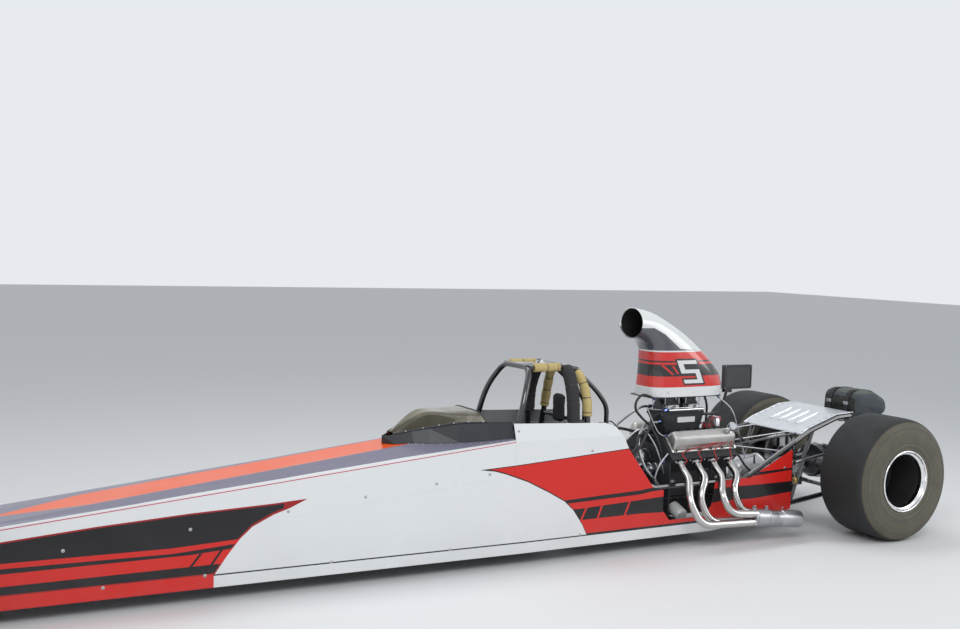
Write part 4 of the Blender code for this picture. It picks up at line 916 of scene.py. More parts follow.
REAR_WHEEL_Y, FRONT_WHEEL_Y = 0.655, 0.52
REAR_WHEEL_Z, FRONT_WHEEL_Z = 0.434, 0.28
tyre_rubber("slick", 0.0, REAR_WHEEL_Z, 0.418, (0.088, 0.088, 0.072), (0.135, 0.115, 0.072))
tyre_rubber("front_tyre", WHEELBASE, FRONT_WHEEL_Z, 0.272, (0.035, 0.035, 0.034), (0.06, 0.055, 0.048))

# %% The slicks
RIM_R = 0.2185
SLICK = [  # radius, distance out from the wheel's middle
    (RIM_R + 0.0006, -0.2), (0.224, -0.205), (0.232, -0.2085), (0.25, -0.214), (0.27, -0.217),
    (0.33, -0.217), (0.385, -0.208), (0.414, -0.192), (0.428, -0.168), (0.434, -0.125),
    (0.434, 0.125), (0.428, 0.168), (0.414, 0.192), (0.385, 0.208), (0.33, 0.217), (0.27, 0.217),
    (0.25, 0.214), (0.232, 0.2085), (0.224, 0.205), (RIM_R + 0.0006, 0.2),
]
BEAD = np.array([(-0.0016, 0.2168), (0, 0.2177), (0.0016, 0.2168), (0, 0.2148)])
for word, side in SIDES:
    centre = (0, side * REAR_WHEEL_Y, REAR_WHEEL_Z)
    slick = turned(rounded(SLICK, 0.012, 4) * (1, side), centre, sides=112, hollow=True)
    beads = [turned((BEAD + (radius, 0)) * (1, side), centre, sides=96, hollow=True)
             for radius in (0.284, 0.316)]
    piece("slick_" + word, {"slick": [slick] + beads}, ["tyre_rear_" + word], "wheel_rear_" + word)

# %% [markdown]
# ## Wheels' metal
# A rear rim of this kind is a wide spun drum: a polished outer lip, then a
# deep dish that is black inside, with the centre and its nuts far in. The
# brake's disc sits inboard on the same shaft. Spun profiles give all of it;
# the nuts are studs with six sides.

# %% Rear rims
cast("dish_black", (0.014, 0.014, 0.015), 0.42, 0.0, 0.0003)
brushed_metal("disc_iron", (0.42, 0.42, 0.43), 0.34, (90.0, 2.0, 90.0))
LIP = [(RIM_R, 0.155), (RIM_R, 0.205), (0.2165, 0.2108), (0.2105, 0.2122), (0.2055, 0.21), (0.2032, 0.201),
       (0.1985, 0.1935), (0.19, 0.19), (0.1862, 0.184), (0.185, 0.155)]
DRUM = [(RIM_R, -0.211), (RIM_R, 0.155), (0.185, 0.155), (0.184, 0.06), (0.182, -0.077), (0.178, -0.086),
        (0.11, -0.085), (0.07, -0.092), (0.07, -0.11), (0.186, -0.11), (0.19, -0.185), (0.205, -0.211)]
HUB = [(0, -0.043), (0.026, -0.043), (0.031, -0.048), (0.05, -0.05), (0.055, -0.056), (0.06, -0.087),
       (0.07, -0.091), (0.07, -0.254), (0.15, -0.258), (0.15, -0.27), (0.022, -0.275), (0.019, -0.281),
       (0.019, -0.38), (0, -0.38)]
for word, side in SIDES:
    centre = (0, side * REAR_WHEEL_Y, REAR_WHEEL_Z)
    nuts = circle((0, side * (REAR_WHEEL_Y - 0.083), REAR_WHEEL_Z), 0.088, 5)
    screws = circle((0, side * (REAR_WHEEL_Y + 0.2115), REAR_WHEEL_Z), 0.2105, 16)
    piece("rim_lip_" + word, {
        "bright_rim": [turned(rounded(LIP, 0.002, 3) * (1, side), centre, sides=96, hollow=True)],
        "dish_black": [turned(rounded(DRUM, 0.004, 3) * (1, side), centre, sides=96, hollow=True)],
        "machined": [turned(rounded(HUB[:8] + [(0, -0.254)], 0.003, 3) * (1, side), centre, sides=48)],
        "disc_iron": [turned(np.array([(0, -0.254)] + HUB[7:]) * (1, side), centre, sides=64)],
        "steel": [studs(nuts, (0, side, 0), 0.012, 0.016, 6), studs(screws, (0, side, 0), 0.0032, 0.002, 8)],
    }, ["rim_rear_" + word], "wheel_rear_" + word)

# %% Front wheels
FRONT_WALL = [(0.2155, -0.034), (0.225, -0.044), (0.245, -0.055), (0.263, -0.051), (0.275, -0.036),
              (0.28, -0.018), (0.28, -0.012), (0.2785, -0.011), (0.2785, -0.009), (0.28, -0.008),
              (0.28, -0.001), (0.2785, 0.0), (0.2785, 0.002), (0.28, 0.003), (0.28, 0.009), (0.2785, 0.01),
              (0.2785, 0.012), (0.28, 0.018), (0.275, 0.036), (0.263, 0.051), (0.245, 0.055),
              (0.225, 0.044), (0.2155, 0.034)]
FRONT_DISC = [(0.0125, -0.042), (0.032, -0.042), (0.036, -0.018), (0.11, -0.014), (0.19, -0.006),
              (0.205, -0.04), (0.215, -0.04), (0.215, 0.038), (0.2135, 0.0405), (0.2065, 0.0405),
              (0.203, 0.034), (0.196, 0.01), (0.186, 0.006), (0.15, 0.01), (0.105, 0.003), (0.06, 0.006),
              (0.04, 0.012), (0.034, 0.03), (0.03, 0.032), (0.0125, 0.032)]
for word, side in SIDES:
    centre = (WHEELBASE, side * FRONT_WHEEL_Y, FRONT_WHEEL_Z)
    nuts = circle((WHEELBASE, side * (FRONT_WHEEL_Y + 0.008), FRONT_WHEEL_Z), 0.05, 5)
    wall = turned(rounded(FRONT_WALL, 0.003, 3) * (1, side), centre, sides=96, hollow=True)
    piece("ribbed_tyre_" + word, {"front_tyre": [wall]}, ["tyre_front_" + word],
          "wheel_front_" + word)
    piece("spun_wheel_" + word, {
        "bright_rim": [turned(rounded(FRONT_DISC, 0.004, 4) * (1, side), centre, sides=96, hollow=True)],
        "steel": [studs(nuts, (0, side, 0), 0.008, 0.01, 6)],
    }, ["rim_front_" + word], "wheel_front_" + word)

# %% [markdown]
# ## Air scoop
# The scoop is one moulded shell. It stands on the carburettors' tray as a
# rounded box, leans forward as it rises, and turns its opening to the wind.
# Each level of it is a superellipse: |a|^n + |b|^n = 1, near a box where n is
# large and an ellipse where n is 2. A Catmull-Rom curve through the levels
# makes the flowing sides. An inner skin 5 mm in gives the wall its thickness.


# %% The scoop's colours
def digit_five(tree, u, v, grow):
    """A plain block 5 in the unit square: three bars and two posts, each grown
    by `grow` on every side for the outline."""
    bars = [(0.0, 1.0, 0.84, 1.0), (0.0, 0.26, 0.44, 1.0), (0.0, 1.0, 0.44, 0.6), (0.74, 1.0, 0.0, 0.6),
            (0.0, 1.0, 0.0, 0.16)]
    total = None
    for left, right, low, high in bars:
        mask = within(tree, (left - grow, u), (u, right + grow), (low - grow, v), (v, high + grow))
        total = mask if total is None else sum_up(tree, "MAXIMUM", total, mask)
    return total


def scoop_paint():
    """Stripes by height, two red slashes, the block number, and a grey upper
    part under a white crown."""
    tree, shader = finish("scoop_paint", PAINT["white"], 0.26, coat=1.0)
    x, y, z = where(tree)
    colour = PAINT["white"]
    for height, paint in ((1.057, PAINT["red"]), (1.133, PAINT["black"]), (1.213, PAINT["red"]),
                          (1.229, PAINT["black"]), (1.24, PAINT["red"]), (1.3, PAINT["white"]),
                          (1.31, (0.075, 0.08, 0.095))):
        colour = over(tree, below(tree, height, z), colour, paint)
    crown = height_line(tree, x, [(1.3, 1.31), (1.459, 1.322), (1.515, 1.366), (1.587, 1.422), (1.68, 1.466),
                                  (1.811, 1.467)])
    colour = over(tree, below(tree, crown, z), colour, PAINT["white"])
    for high, low in (((1.596, 1.209), (1.515, 1.144)), ((1.52, 1.205), (1.474, 1.15))):
        colour = over(tree, slash(tree, x, z, high, low, 0.013), colour, PAINT["red"])
    v = sum_up(tree, "DIVIDE", sum_up(tree, "SUBTRACT", z, 1.082), 0.16)
    lean = sum_up(tree, "SUBTRACT", sum_up(tree, "MULTIPLY_ADD", v, 0.072, 1.415), x)
    u = sum_up(tree, "DIVIDE", lean, 0.165)
    other = sum_up(tree, "SUBTRACT", 1.0, u)
    nearside = below(tree, 0.0, y)
    u = sum_up(tree, "ADD", sum_up(tree, "MULTIPLY", nearside, u),
               sum_up(tree, "MULTIPLY", sum_up(tree, "SUBTRACT", 1.0, nearside), other))
    flat = below(tree, 0.1, sum_up(tree, "ABSOLUTE", y))
    for grow, paint in ((0.075, "black"), (0.0, "white")):
        colour = over(tree, both_of(tree, flat, digit_five(tree, u, v, grow)), colour, PAINT[paint])
    film = use(tree, "blotches", Scale=5.0, Cover=0.58, Soft=0.2)
    grime = sum_up(tree, "MULTIPLY", film.outputs["Mask"], 0.08)
    stained(tree, shader, grime, colour, (0.22, 0.21, 0.2))
    spread(tree, shader, "Roughness", 0.2, 0.36, film.outputs["Mask"])


scoop_paint()

# %% The scoop's shell
SCOOP_LEVELS = np.array([
    # front station, front height, rear station, rear height, half width, squareness
    (1.668, 0.9905, 1.034, 0.9905, 0.15, 4.0), (1.667, 1.06, 1.03, 1.078, 0.152, 3.6),
    (1.664, 1.16, 1.092, 1.198, 0.15, 3.2), (1.663, 1.25, 1.24, 1.327, 0.145, 2.9),
    (1.672, 1.315, 1.372, 1.426, 0.14, 2.6), (1.706, 1.36, 1.515, 1.511, 0.134, 2.3),
    (1.741, 1.379, 1.641, 1.57, 0.131, 2.1), (1.777, 1.391, 1.768, 1.597, 0.13, 2.0)])


def signed_power(values, power):
    """Each value's size raised to a power, with its own sign kept."""
    return np.sign(values) * np.abs(values) ** power


def scoop_skin(levels, wall, sides=96):
    """Superellipse rings: middle + reach * sgn(cos)|cos|^(2/n), and half width
    * sgn(sin)|sin|^(2/n) across, both shortened by the wall."""
    t = full_turn(sides)[None]
    front, rear = levels[:, [0, 1]], levels[:, [2, 3]]
    middle, reach = (front + rear) / 2, (front - rear) / 2
    length = np.linalg.norm(reach, axis=1, keepdims=True)
    reach = reach * (1 - wall / length)
    along = signed_power(np.cos(t), 2 / levels[:, 5:6])
    across = signed_power(np.sin(t), 2 / levels[:, 5:6]) * (levels[:, 4:5] - wall)
    return np.stack([middle[:, :1] + reach[:, :1] * along, across, middle[:, 1:] + reach[:, 1:] * along], -1)


levels = smooth(SCOOP_LEVELS, 7)
lip = np.repeat(levels[-1:], 5, 0)
roll = np.array([(0.0, 0.0), (0.0035, 0.002), (0.004, 0.005), (0.001, 0.0075), (-0.004, 0.004)])
mouth_out = np.array([0.996, 0.0, -0.087])
outer = scoop_skin(levels, 0.0)
inner = scoop_skin(levels, 0.005)
bead = np.stack([scoop_skin(lip[:1], -grow)[0] + mouth_out * ahead for grow, ahead in roll]
                + [scoop_skin(lip[:1], 0.005)[0]])
hem = np.stack([outer[0], inner[0]])
base_studs = studs([(x, 0.1515, 1.022) for x in (1.1, 1.34, 1.55)], (0, 1, 0), 0.006, 0.003, 12)
piece("scoop_shell", {
    "scoop_paint": [grid(outer, wrap_cols=True), grid(bead, wrap_cols=True), grid(hem, wrap_cols=True)],
    "dark_inside": [grid(inner, wrap_cols=True)],
    "machined": paired([base_studs]),
}, ["air_scoop"], angle=50)

# %% [markdown]
# ## Headers
# Four pipes a side leave the heads through flanges, bend down past the frame
# and meet in a collector, where hot gas leaves just ahead of the tyre. A tube
# along a path with rounded corners makes each pipe. Flange plates, bolts, the
# clamps' bands and the weld beads are separate small surfaces.

# %% Header pipes and collectors
polished("hot_chrome", (0.55, 0.54, 0.53), 0.1, 0.24)
brushed_metal("collector_steel", (0.46, 0.47, 0.49), 0.32, (6.0, 70.0, 70.0))
cast("bolt_black", (0.02, 0.02, 0.021), 0.4, 0.6)
PIPES = [  # port station, knee station, knee y, knee z, bend station, row, column
    (1.525, 1.6, 0.475, 0.345, 1.53, -1, 1), (1.385, 1.475, 0.428, 0.345, 1.415, -1, -1),
    (1.245, 1.345, 0.5, 0.368, 1.28, 1, 1), (1.105, 1.195, 0.44, 0.372, 1.14, 1, -1)]
HEADER_R, PITCH = 0.025, 0.028
CAN_FRONT, CAN_REAR = np.array([1.075, 0.5, 0.195]), np.array([0.645, 0.5, 0.147])
run = CAN_REAR - CAN_FRONT
reach = np.linalg.norm(run)
CAN = [(0, 0), (0.054, 0), (0.0595, 0.006), (0.06, 0.03), (0.06, 0.14), (0.053, 0.21), (0.0525, 0.26),
       (0.0595, 0.266), (0.0595, reach - 0.002), (0.0585, reach), (0.057, reach), (0.0565, reach - 0.002),
       (0.0565, reach - 0.12), (0, reach - 0.12)]
LEAN = math.sqrt(0.5)
UP_BANK, OUT_BANK = np.array([0, LEAN, LEAN]), np.array([0, LEAN, -LEAN])
FLANGE_POINTS, FLANGE_FACES = plate(rounded(oblong(-0.042, -0.014, 0.042, 0.014), 0.012, 5, closed=True),
                                    "Z", 0, 0.008, 0.001)


def ring_band(centre, axis, radius, width, height):
    """A raised band round a pipe: a small closed profile spun about its axis."""
    profile = [(radius - 0.001, -width / 2), (radius + height, -width / 2), (radius + height, width / 2),
               (radius - 0.001, width / 2)]
    return turned(rounded(profile, height * 0.4, 3, closed=True), centre, axis, 40, hollow=True)


for word, side in SIDES:
    pipes, bands, flanges, bolts = [], [], [], []
    for port, knee, knee_y, knee_z, bend, row, col in PIPES:
        low, run_y = 0.195 + row * PITCH, 0.5 + col * PITCH
        path = [(port, 0.268, 0.557), (port, 0.312, 0.513), (port + 0.01, 0.39, 0.465),
                (knee, knee_y, knee_z),
                (bend, run_y, low + 0.02), (1.055, run_y, low)]
        pipes.append(tube(rounded(path, [0, 0.03, 0.055, 0.07, 0.08, 0], 10), HEADER_R, 22))
        bands.append(ring_band((port, 0.29, 0.535), OUT_BANK, HEADER_R, 0.006, 0.0022))
        bands.append(ring_band((1.083, run_y, low), (1, 0, 0), HEADER_R, 0.01, 0.002))
        foot = np.array((port, 0.2695, 0.5585))
        flanges.append((FLANGE_POINTS @ [(1, 0, 0), UP_BANK, OUT_BANK] + foot, FLANGE_FACES))
        spots = [foot + OUT_BANK * 0.008 + (step, 0, 0) for step in (-0.034, 0.034)]
        bolts.append(studs(spots, OUT_BANK, 0.0062, 0.006, 6))
    can = turned(rounded(CAN, 0.003, 3), CAN_FRONT, run, 56)
    clamped = [CAN_FRONT + run * share for share in (0.05, 0.3)]
    clamps = [ring_band(spot, run, 0.06, 0.014, 0.0035) for spot in clamped]
    lugs = [block(spot + (-0.012, -0.006, 0.058), spot + (0.012, 0.006, 0.082), 0.001) for spot in clamped]
    bolts.append(studs([spot + (0, 0.006, 0.073) for spot in clamped], (0, 1, 0), 0.0055, 0.006, 6))
    piece("header_set_" + word, {
        "hot_chrome": mirrored(pipes + bands, side),
        "collector_steel": mirrored([can] + clamps + lugs, side),
        "steel": mirrored(flanges, side),
        "bolt_black": mirrored(bolts, side),
    }, ["header_" + word], angle=40)

# %% [markdown]
# ## Roll cage
# The cage is bent from steel tube: a front hoop that leans back, a main hoop
# and a rear hoop behind the seat, two bars over the seat that join them, and
# two braces down to the frame. It is drawn as tubes along the same corner
# points as the solid frame, with many more sides and softer bends. Weld beads
# and a small riveted roof plate finish it.

# %% Cage tubes
CAGE_R = 0.019
FRONT_HOOP = [(2.832, 0.276, 0.782), (2.76, 0.25, 1.06), (2.68, 0.165, 1.222)]
MAIN_HOOP = [(2.41, 0.285, 0.784), (2.41, 0.268, 1.06), (2.4, 0.175, 1.222)]
REAR_HOOP = [(2.301, 0.285, 0.762), (2.285, 0.24, 1.06), (2.315, 0.15, 1.205)]
TOP_BAR = [(2.68, 0.15, 1.222), (2.4, 0.15, 1.222), (2.31, 0.15, 1.205)]
BACK_BRACE = [(2.315, 0.13, 1.203), (2.14, 0.13, 1.06), (2.05, 0.13, 0.95), (2.05, 0.13, 0.657)]


def whole_hoop(half, bends):
    """Both sides of a hoop as one smooth path, left foot to right foot."""
    return rounded(half + [(x, -y, z) for x, y, z in reversed(half)], bends + bends[::-1], 9)


hoops = [whole_hoop(half, [0, 0.1, 0.075]) for half in (FRONT_HOOP, MAIN_HOOP, REAR_HOOP)]
cage = [tube(path, CAGE_R, 22) for path in hoops]
cage += [rod((2.2945, -0.268, 0.865), (2.2945, 0.268, 0.865), 0.014, 18)]
top_bar = rounded(TOP_BAR, [0, 0.05, 0], 7)
cage += paired([tube(top_bar, 0.0172, 20), tube(rounded(BACK_BRACE, [0, 0.06, 0.05, 0], 7), 0.016, 18)])
roof = plate(rounded(oblong(2.4, -0.15, 2.69, 0.15), 0.012, 5, closed=True), "Z", 1.2335, 1.238, 0.0012)
roof_rivets = studs([(x, y, 1.238) for x in (2.42, 2.545, 2.67) for y in (-0.137, 0.137)],
                    (0, 0, 1), 0.005, 0.0018)
welds = [ring_band((2.2945, s * 0.245, 0.865), (0, 1, 0), 0.014, 0.006, 0.0018) for s in (1, -1)]
glossy_paint("roof_black", (0.03, 0.026, 0.036), 0.12, 0.06)
piece("cage_tubes", {"gloss_black": cage + welds, "roof_black": [roof, roof_rivets]},
      ["roll_cage"], angle=50)

# %% [markdown]
# ## Pads on the cage
# Foam sleeves are slit tubes pushed over the bars and held with ties. A sleeve
# is a tube whose radius swells and shrinks a little along its length, pulled
# in under each tie. The black ones wrap the main hoop's legs, and the tan
# ones the rear hoop's legs and the bars above.

# %% Foam sleeves
cast("foam_black", (0.016, 0.016, 0.018), 0.75, 0.0, 0.001, 300.0)
cast("tie_black", (0.01, 0.01, 0.011), 0.35, 0.0, 0.0001)


def between(path, low, high, count=60):
    """Evenly spaced points of a path between two shares of its length."""
    path = np.asarray(path, float)
    step = np.linalg.norm(np.diff(path, axis=0), axis=1)
    gone = np.concatenate([[0], np.cumsum(step)]) / step.sum()
    share = np.linspace(low, high, count)
    return np.stack([np.interp(share, gone, path[:, i]) for i in range(3)], 1)


def swelling(share, reach):
    """A quarter circle's rise from 0 to 1 within `reach` of both ends."""
    ends = np.clip(np.minimum(share, 1 - share) / reach, 0, 1)
    return np.sqrt(1 - (1 - ends) ** 2)


def sleeve(path, radius, ties, bulge=0.0012):
    """A foam tube: radius * rounded ends, plus slow ripples, less a narrow dip
    under each tie, given as a share of the length."""
    share = np.linspace(0, 1, len(path))
    swell = radius * (0.86 + 0.14 * swelling(share, 0.03)) + bulge * np.sin(share * 23.0 + radius * 900)
    dips = sum(np.exp(-((share - tie) / 0.012) ** 2) for tie in ties) * 0.0035
    skin = tube(path, swell - dips, 26)
    spots = [int(tie * (len(path) - 1)) for tie in ties]
    return skin, [ring_band(path[i], path[i + 1] - path[i - 1], radius - 0.0028, 0.005, 0.0016)
                  for i in spots]


rear_leg, main_leg = hoops[2][:19], hoops[1][:19]
for word, side in SIDES:
    tan, tan_ties = sleeve(between(rear_leg, 0.28, 0.9), 0.0305, (0.08, 0.36, 0.66, 0.93))
    over_head, head_ties = sleeve(between(top_bar, 0.1, 0.62), 0.0275, (0.1, 0.5, 0.9))
    black, black_ties = sleeve(between(main_leg, 0.18, 0.88, 80), 0.042, (0.05, 0.35, 0.65, 0.95), 0.0008)
    made = piece("foam_sleeves_" + word, {"foam_tan": mirrored([tan, over_head], side),
                                          "foam_black": mirrored([black], side),
                                          "tie_black": mirrored(tan_ties + head_ties + black_ties, side)},
                 ["cage_pad_" + word], angle=60)

# %% [markdown]
# ## Valve covers
# Each bank is closed by a cast cover: a tall crowned box with a crease along
# its middle, a flange round its foot, and a row of bolts whose bosses give
# its lower edge a scalloped line. The section is carried along the bank and
# pulled in at both ends, so the ends are rounded like the rest.

# %% Covers
brushed_metal("cover_silver", (0.5, 0.49, 0.47), 0.36, (4.0, 60.0, 60.0))
COVER = np.array([(0.006, 0.01), (0.008, 0.06), (0.016, 0.082), (0.028, 0.09), (0.072, 0.088), (0.078, 0.084),
                  (0.082, 0.0855), (0.1, 0.068), (0.124, 0.03), (0.13, 0.01)])
FLANGE = [(-0.001, 0.0012), (0.14, 0.0012), (0.14, 0.0095), (0.138, 0.0115), (0.001, 0.0115),
          (-0.001, 0.0095)]


def on_bank(section, stations):
    """A bank's section, (out, up) from its inner edge, at every station."""
    section, stations = np.asarray(section, float), np.asarray(stations, float)
    y = 0.15 + LEAN * (section[..., 0] + section[..., 1])
    z = 0.72 - LEAN * (section[..., 0] - section[..., 1])
    return np.stack([np.broadcast_to(stations, y.shape), y, z], -1)


BANK = (1.02, 1.58)
tip = np.linspace(0, 0.05, 7)[:-1]
share = np.concatenate([tip, np.linspace(0.05, 0.95, 24), 1 - tip[::-1]])
pull = (1 - swelling(share, 0.05))[:, None]
profile = smooth(COVER, 4)
centre = np.array([0.063, 0.0])
shapes = profile[None] + (centre - profile[None]) * pull[..., None] * (0.3, 0.55)
stations = (BANK[0] + 0.006 + (BANK[1] - BANK[0] - 0.012) * share)[:, None]
lid = on_bank(shapes, stations)
first, last = (np.repeat(row[None].mean(1, keepdims=True), lid.shape[1], 1) for row in (lid[0], lid[-1]))
skin = grid(np.concatenate([first, lid, last]), wrap_cols=True)
flange_rows = on_bank(np.repeat([FLANGE], 2, 0), np.array(BANK)[:, None])
boss_x = np.linspace(BANK[0] + 0.03, BANK[1] - 0.03, 6)
BOSS = [(0, 0.0), (0.011, 0.0), (0.011, 0.015), (0.009, 0.017), (0, 0.017)]
boss = [turned(BOSS, on_bank((0.134, 0.0015), x), UP_BANK, 24) for x in boss_x]
heads = studs(np.stack([on_bank((0.134, 0.0185), x) for x in boss_x]), UP_BANK, 0.0065, 0.0065, 6)
inner_heads = studs(np.stack([on_bank((0.003, 0.0115), x) for x in boss_x]), UP_BANK, 0.0055, 0.0055, 6)
BREATHER = [(0, 0), (0.022, 0), (0.022, 0.012), (0.015, 0.016), (0.015, 0.03), (0.03, 0.034), (0.032, 0.04),
            (0.032, 0.062), (0.028, 0.068), (0, 0.07)]
breather = turned(BREATHER, on_bank((0.045, 0.086), 1.085), UP_BANK, 32)
for word, side in SIDES:
    piece("cast_cover_" + word, {
        "cover_silver": mirrored([skin, grid(flange_rows, wrap_cols=True, caps=True)] + boss, side),
        "bolt_black": mirrored([heads, inner_heads], side),
        "machined": mirrored([breather], side),
    }, ["valve_cover_" + word], angle=45)

# %% [markdown]
# ## Intake
# Two carburettors sit on a tall plenum, and short runners lead from it down to
# the heads. The plenum is a stack of rounded rectangles that narrow downwards,
# the same superellipse rings as the scoop with a squarer exponent. Runners
# are tubes, and the carburettors are turned and cut shapes with their float
# bowls, screws and throttle shaft.

# %% Plenum and runners
cast("gunmetal", (0.05, 0.052, 0.056), 0.38, 0.7, 0.0004)
glossy_paint("white_enamel", (0.72, 0.73, 0.72), 0.3, 0.1)
PLENUM = np.array([
    # front station, height, rear station, height, half width, squareness
    (1.48, 0.668, 1.22, 0.668, 0.07, 7.0), (1.495, 0.7, 1.205, 0.7, 0.074, 7.0),
    (1.52, 0.76, 1.19, 0.76, 0.078, 7.0), (1.54, 0.81, 1.175, 0.81, 0.083, 7.0),
    (1.556, 0.838, 1.172, 0.838, 0.085, 8.0), (1.56, 0.85, 1.17, 0.85, 0.085, 9.0)])


def stack(levels, steps=5, sides=64):
    """A closed solid through superellipse levels, smoothed between them."""
    rings = scoop_skin(smooth(levels, steps), 0.0, sides)
    return grid(rings, wrap_cols=True, caps=True)


runners = [tube(rounded([(x, 0.055, 0.735), (x, 0.105, 0.735), (x + skew, 0.15, 0.698)], [0, 0.03, 0], 7),
                [0.024] * 4 + [0.022] * 5, 16)
           for x, skew in ((1.225, -0.02), (1.3, -0.01), (1.385, 0.01), (1.46, 0.02))]
valley = block((1.13, -0.074, 0.6505), (1.55, 0.074, 0.7), 0.004, 0.012)
cover_top = block((1.168, -0.087, 0.85), (1.562, 0.087, 0.8645), 0.002, 0.02)
top_bolts = studs([(x, y, 0.8645) for x in np.linspace(1.185, 1.545, 5) for y in (-0.079, 0.079)], (0, 0, 1),
                  0.005, 0.004, 6)
ribs = [block((x - 0.003, -0.0835, 0.775), (x + 0.003, 0.0835, 0.845), 0.001) for x in (1.215, 1.455, 1.52)]
badge = plate(rounded(oblong(1.262, 0.8, 1.415, 0.838), 0.006, 4, closed=True), "Y", 0.0815, 0.0895, 0.0006)
piece("plenum", {
    "cast_black": [stack(PLENUM), valley, cover_top] + ribs + paired(runners),
    "white_enamel": paired([badge]),
    "machined": [top_bolts],
}, ["intake_manifold"], angle=35)

# %% Carburettors and the scoop's tray
CARB_Z = 0.8653
BARREL = [  # half length, rise, half width, squareness
    (0.073, 0.01, 0.06, 8.0), (0.073, 0.03, 0.06, 8.0), (0.07, 0.055, 0.058, 6.0), (0.066, 0.078, 0.062, 3.0)]
bodies, bowls, brass = [], [], []
for middle in (1.275, 1.455):
    body = [(middle + half, CARB_Z + rise, middle - half, CARB_Z + rise, out, square)
            for half, rise, out, square in BARREL]
    bodies.append(stack(np.array(body), 4))
    horn = [(0, 0.074), (0.066, 0.074), (0.068, 0.078), (0.068, 0.112), (0.064, 0.12), (0, 0.12)]
    bodies.append(turned(horn, (middle, 0, CARB_Z), (0, 0, 1), 48))
    bowls += [block((middle - 0.05, 0.06, CARB_Z + 0.02), (middle + 0.05, 0.092, CARB_Z + 0.062),
                    0.004, 0.008),
              block((middle - 0.054, 0.058, CARB_Z + 0.034), (middle + 0.054, 0.066, CARB_Z + 0.05),
                    0.002, 0.002)]
    spots = [(middle + dx, 0.092, CARB_Z + dz) for dx in (-0.042, 0.042) for dz in (0.027, 0.055)]
    brass += [studs(spots, (0, 1, 0), 0.0042, 0.004, 6),
              studs([(middle, 0.092, CARB_Z + 0.04)], (0, 1, 0), 0.008, 0.005, 6)]
base = block((1.18, -0.09, CARB_Z), (1.55, 0.09, CARB_Z + 0.012), 0.002, 0.01)
tray = block((1.062, -0.141, 0.983), (1.676, 0.141, 0.9893), 0.0015, 0.04)
fuel_log = rod((1.215, 0.112, CARB_Z + 0.028), (1.515, 0.112, CARB_Z + 0.028), 0.0095, 18)
FEED = np.array([(0, 0.112, 0.028), (0, 0.116, 0.05), (0, 0.09, 0.052)])
feeds = [tube(rounded(FEED + (x, 0, CARB_Z), [0, 0.012, 0], 6), 0.0055, 12) for x in (1.275, 1.455)]
shaft = [rod((1.235, -0.1, CARB_Z + 0.016), (1.235, 0.1, CARB_Z + 0.016), 0.004, 10),
         plate([(1.205, 0.884), (1.262, 0.89), (1.25, 0.912), (1.215, 0.905)], "Y", 0.0945, 0.0975, 0.0005),
         rod((1.245, 0.099, 0.905), (1.475, 0.099, 0.905), 0.003, 10)]
stack_studs = [rod((x, 0.07, 0.93), (x, 0.07, 0.984), 0.0035, 8) for x in (1.215, 1.335, 1.395, 1.515)]
brushed_metal("brass", (0.62, 0.42, 0.16), 0.3, (60.0, 60.0, 60.0))
piece("twin_carbs", {
    "gunmetal": bodies + [base], "cast_aluminium": paired(bowls), "satin_black": [tray],
    "machined": shaft + paired([fuel_log] + stack_studs), "steel": paired(feeds), "brass": paired(brass),
}, ["carburettors"], angle=35)

# %% [markdown]
# ## Engine dressing
# The V block is already right in the solid model, as a plain casting. What
# makes it read as an engine is what is bolted to it: head bolts, core plugs,
# the sump's rail, plug leads, a magneto with its cap, hoses and hard lines.
# All are small surfaces over the casting, joined in one piece.

# %% Block details
glossy_paint("red_cap", (0.5, 0.02, 0.03), 0.3, 0.1)
cast("lead_red", (0.3, 0.012, 0.015), 0.45, 0.0, 0.0001)
brushed_metal("braid", (0.5, 0.51, 0.52), 0.38, (300.0, 300.0, 300.0))
polished("anodised", (0.1, 0.13, 0.3), 0.22, 0.34)
head_x, plug_x = np.linspace(1.065, 1.565, 5), np.linspace(1.12, 1.51, 4)
hard = paired([
    studs([(x, 0.285 - LEAN * 0.022, 0.585 - LEAN * 0.022) for x in head_x], OUT_BANK, 0.0075, 0.007, 6),
    studs([(x, 0.176, 0.4) for x in plug_x], (0, 1, 0), 0.022, 0.003, 20),
    studs([(x, 0.183, 0.296) for x in np.linspace(1.05, 1.58, 10)], (0, 0, -1), 0.005, 0.005, 6)])
dark = [block((1.035, 0.168, 0.296), (1.595, 0.19, 0.306), 0.002)]
leads, braided, fittings = [], [], []
for x in plug_x:
    boot = np.array((x + 0.005, 0.307, 0.554))
    dark.append(rod(boot - (0, 0.045, -0.002), boot, 0.0085, 12))
    leads.append(hose([boot, boot + (0, 0.02, 0.03), (x - 0.01, 0.292, 0.64), (1.04, 0.235, 0.7),
                       (1.035, 0.12, 0.745), (1.075, 0.03, 0.77)], 0.0042, 9, 7))
dark, leads = paired(dark), paired(leads)
filter_can = turned([(0, 0), (0.044, 0.002), (0.047, 0.008), (0.047, 0.105), (0.042, 0.112), (0, 0.114)],
                    (1.5, 0.178, 0.235), (0, 0.92, -0.38), 32)
starter = [turned([(0, 0), (0.036, 0.002), (0.038, 0.008), (0.038, 0.13), (0.03, 0.14), (0, 0.142)],
                  (1.055, -0.205, 0.3), (1, 0, 0), 28),
           turned(oblong(0, 0, 0.02, 0.09), (1.07, -0.205, 0.352), (1, 0, 0), 20)]
MAGNETO = [(0, 0.0), (0.03, 0.0), (0.03, 0.03), (0.036, 0.045), (0.036, 0.085), (0.03, 0.09), (0, 0.09)]
CAP = [(0, 0.088), (0.033, 0.088), (0.034, 0.095), (0.03, 0.118), (0, 0.122)]
COIL = [(0, 0), (0.02, 0), (0.02, 0.07), (0.013, 0.08), (0, 0.08)]
magneto = turned(MAGNETO, (1.08, 0, 0.65), (0, 0, 1), 32)
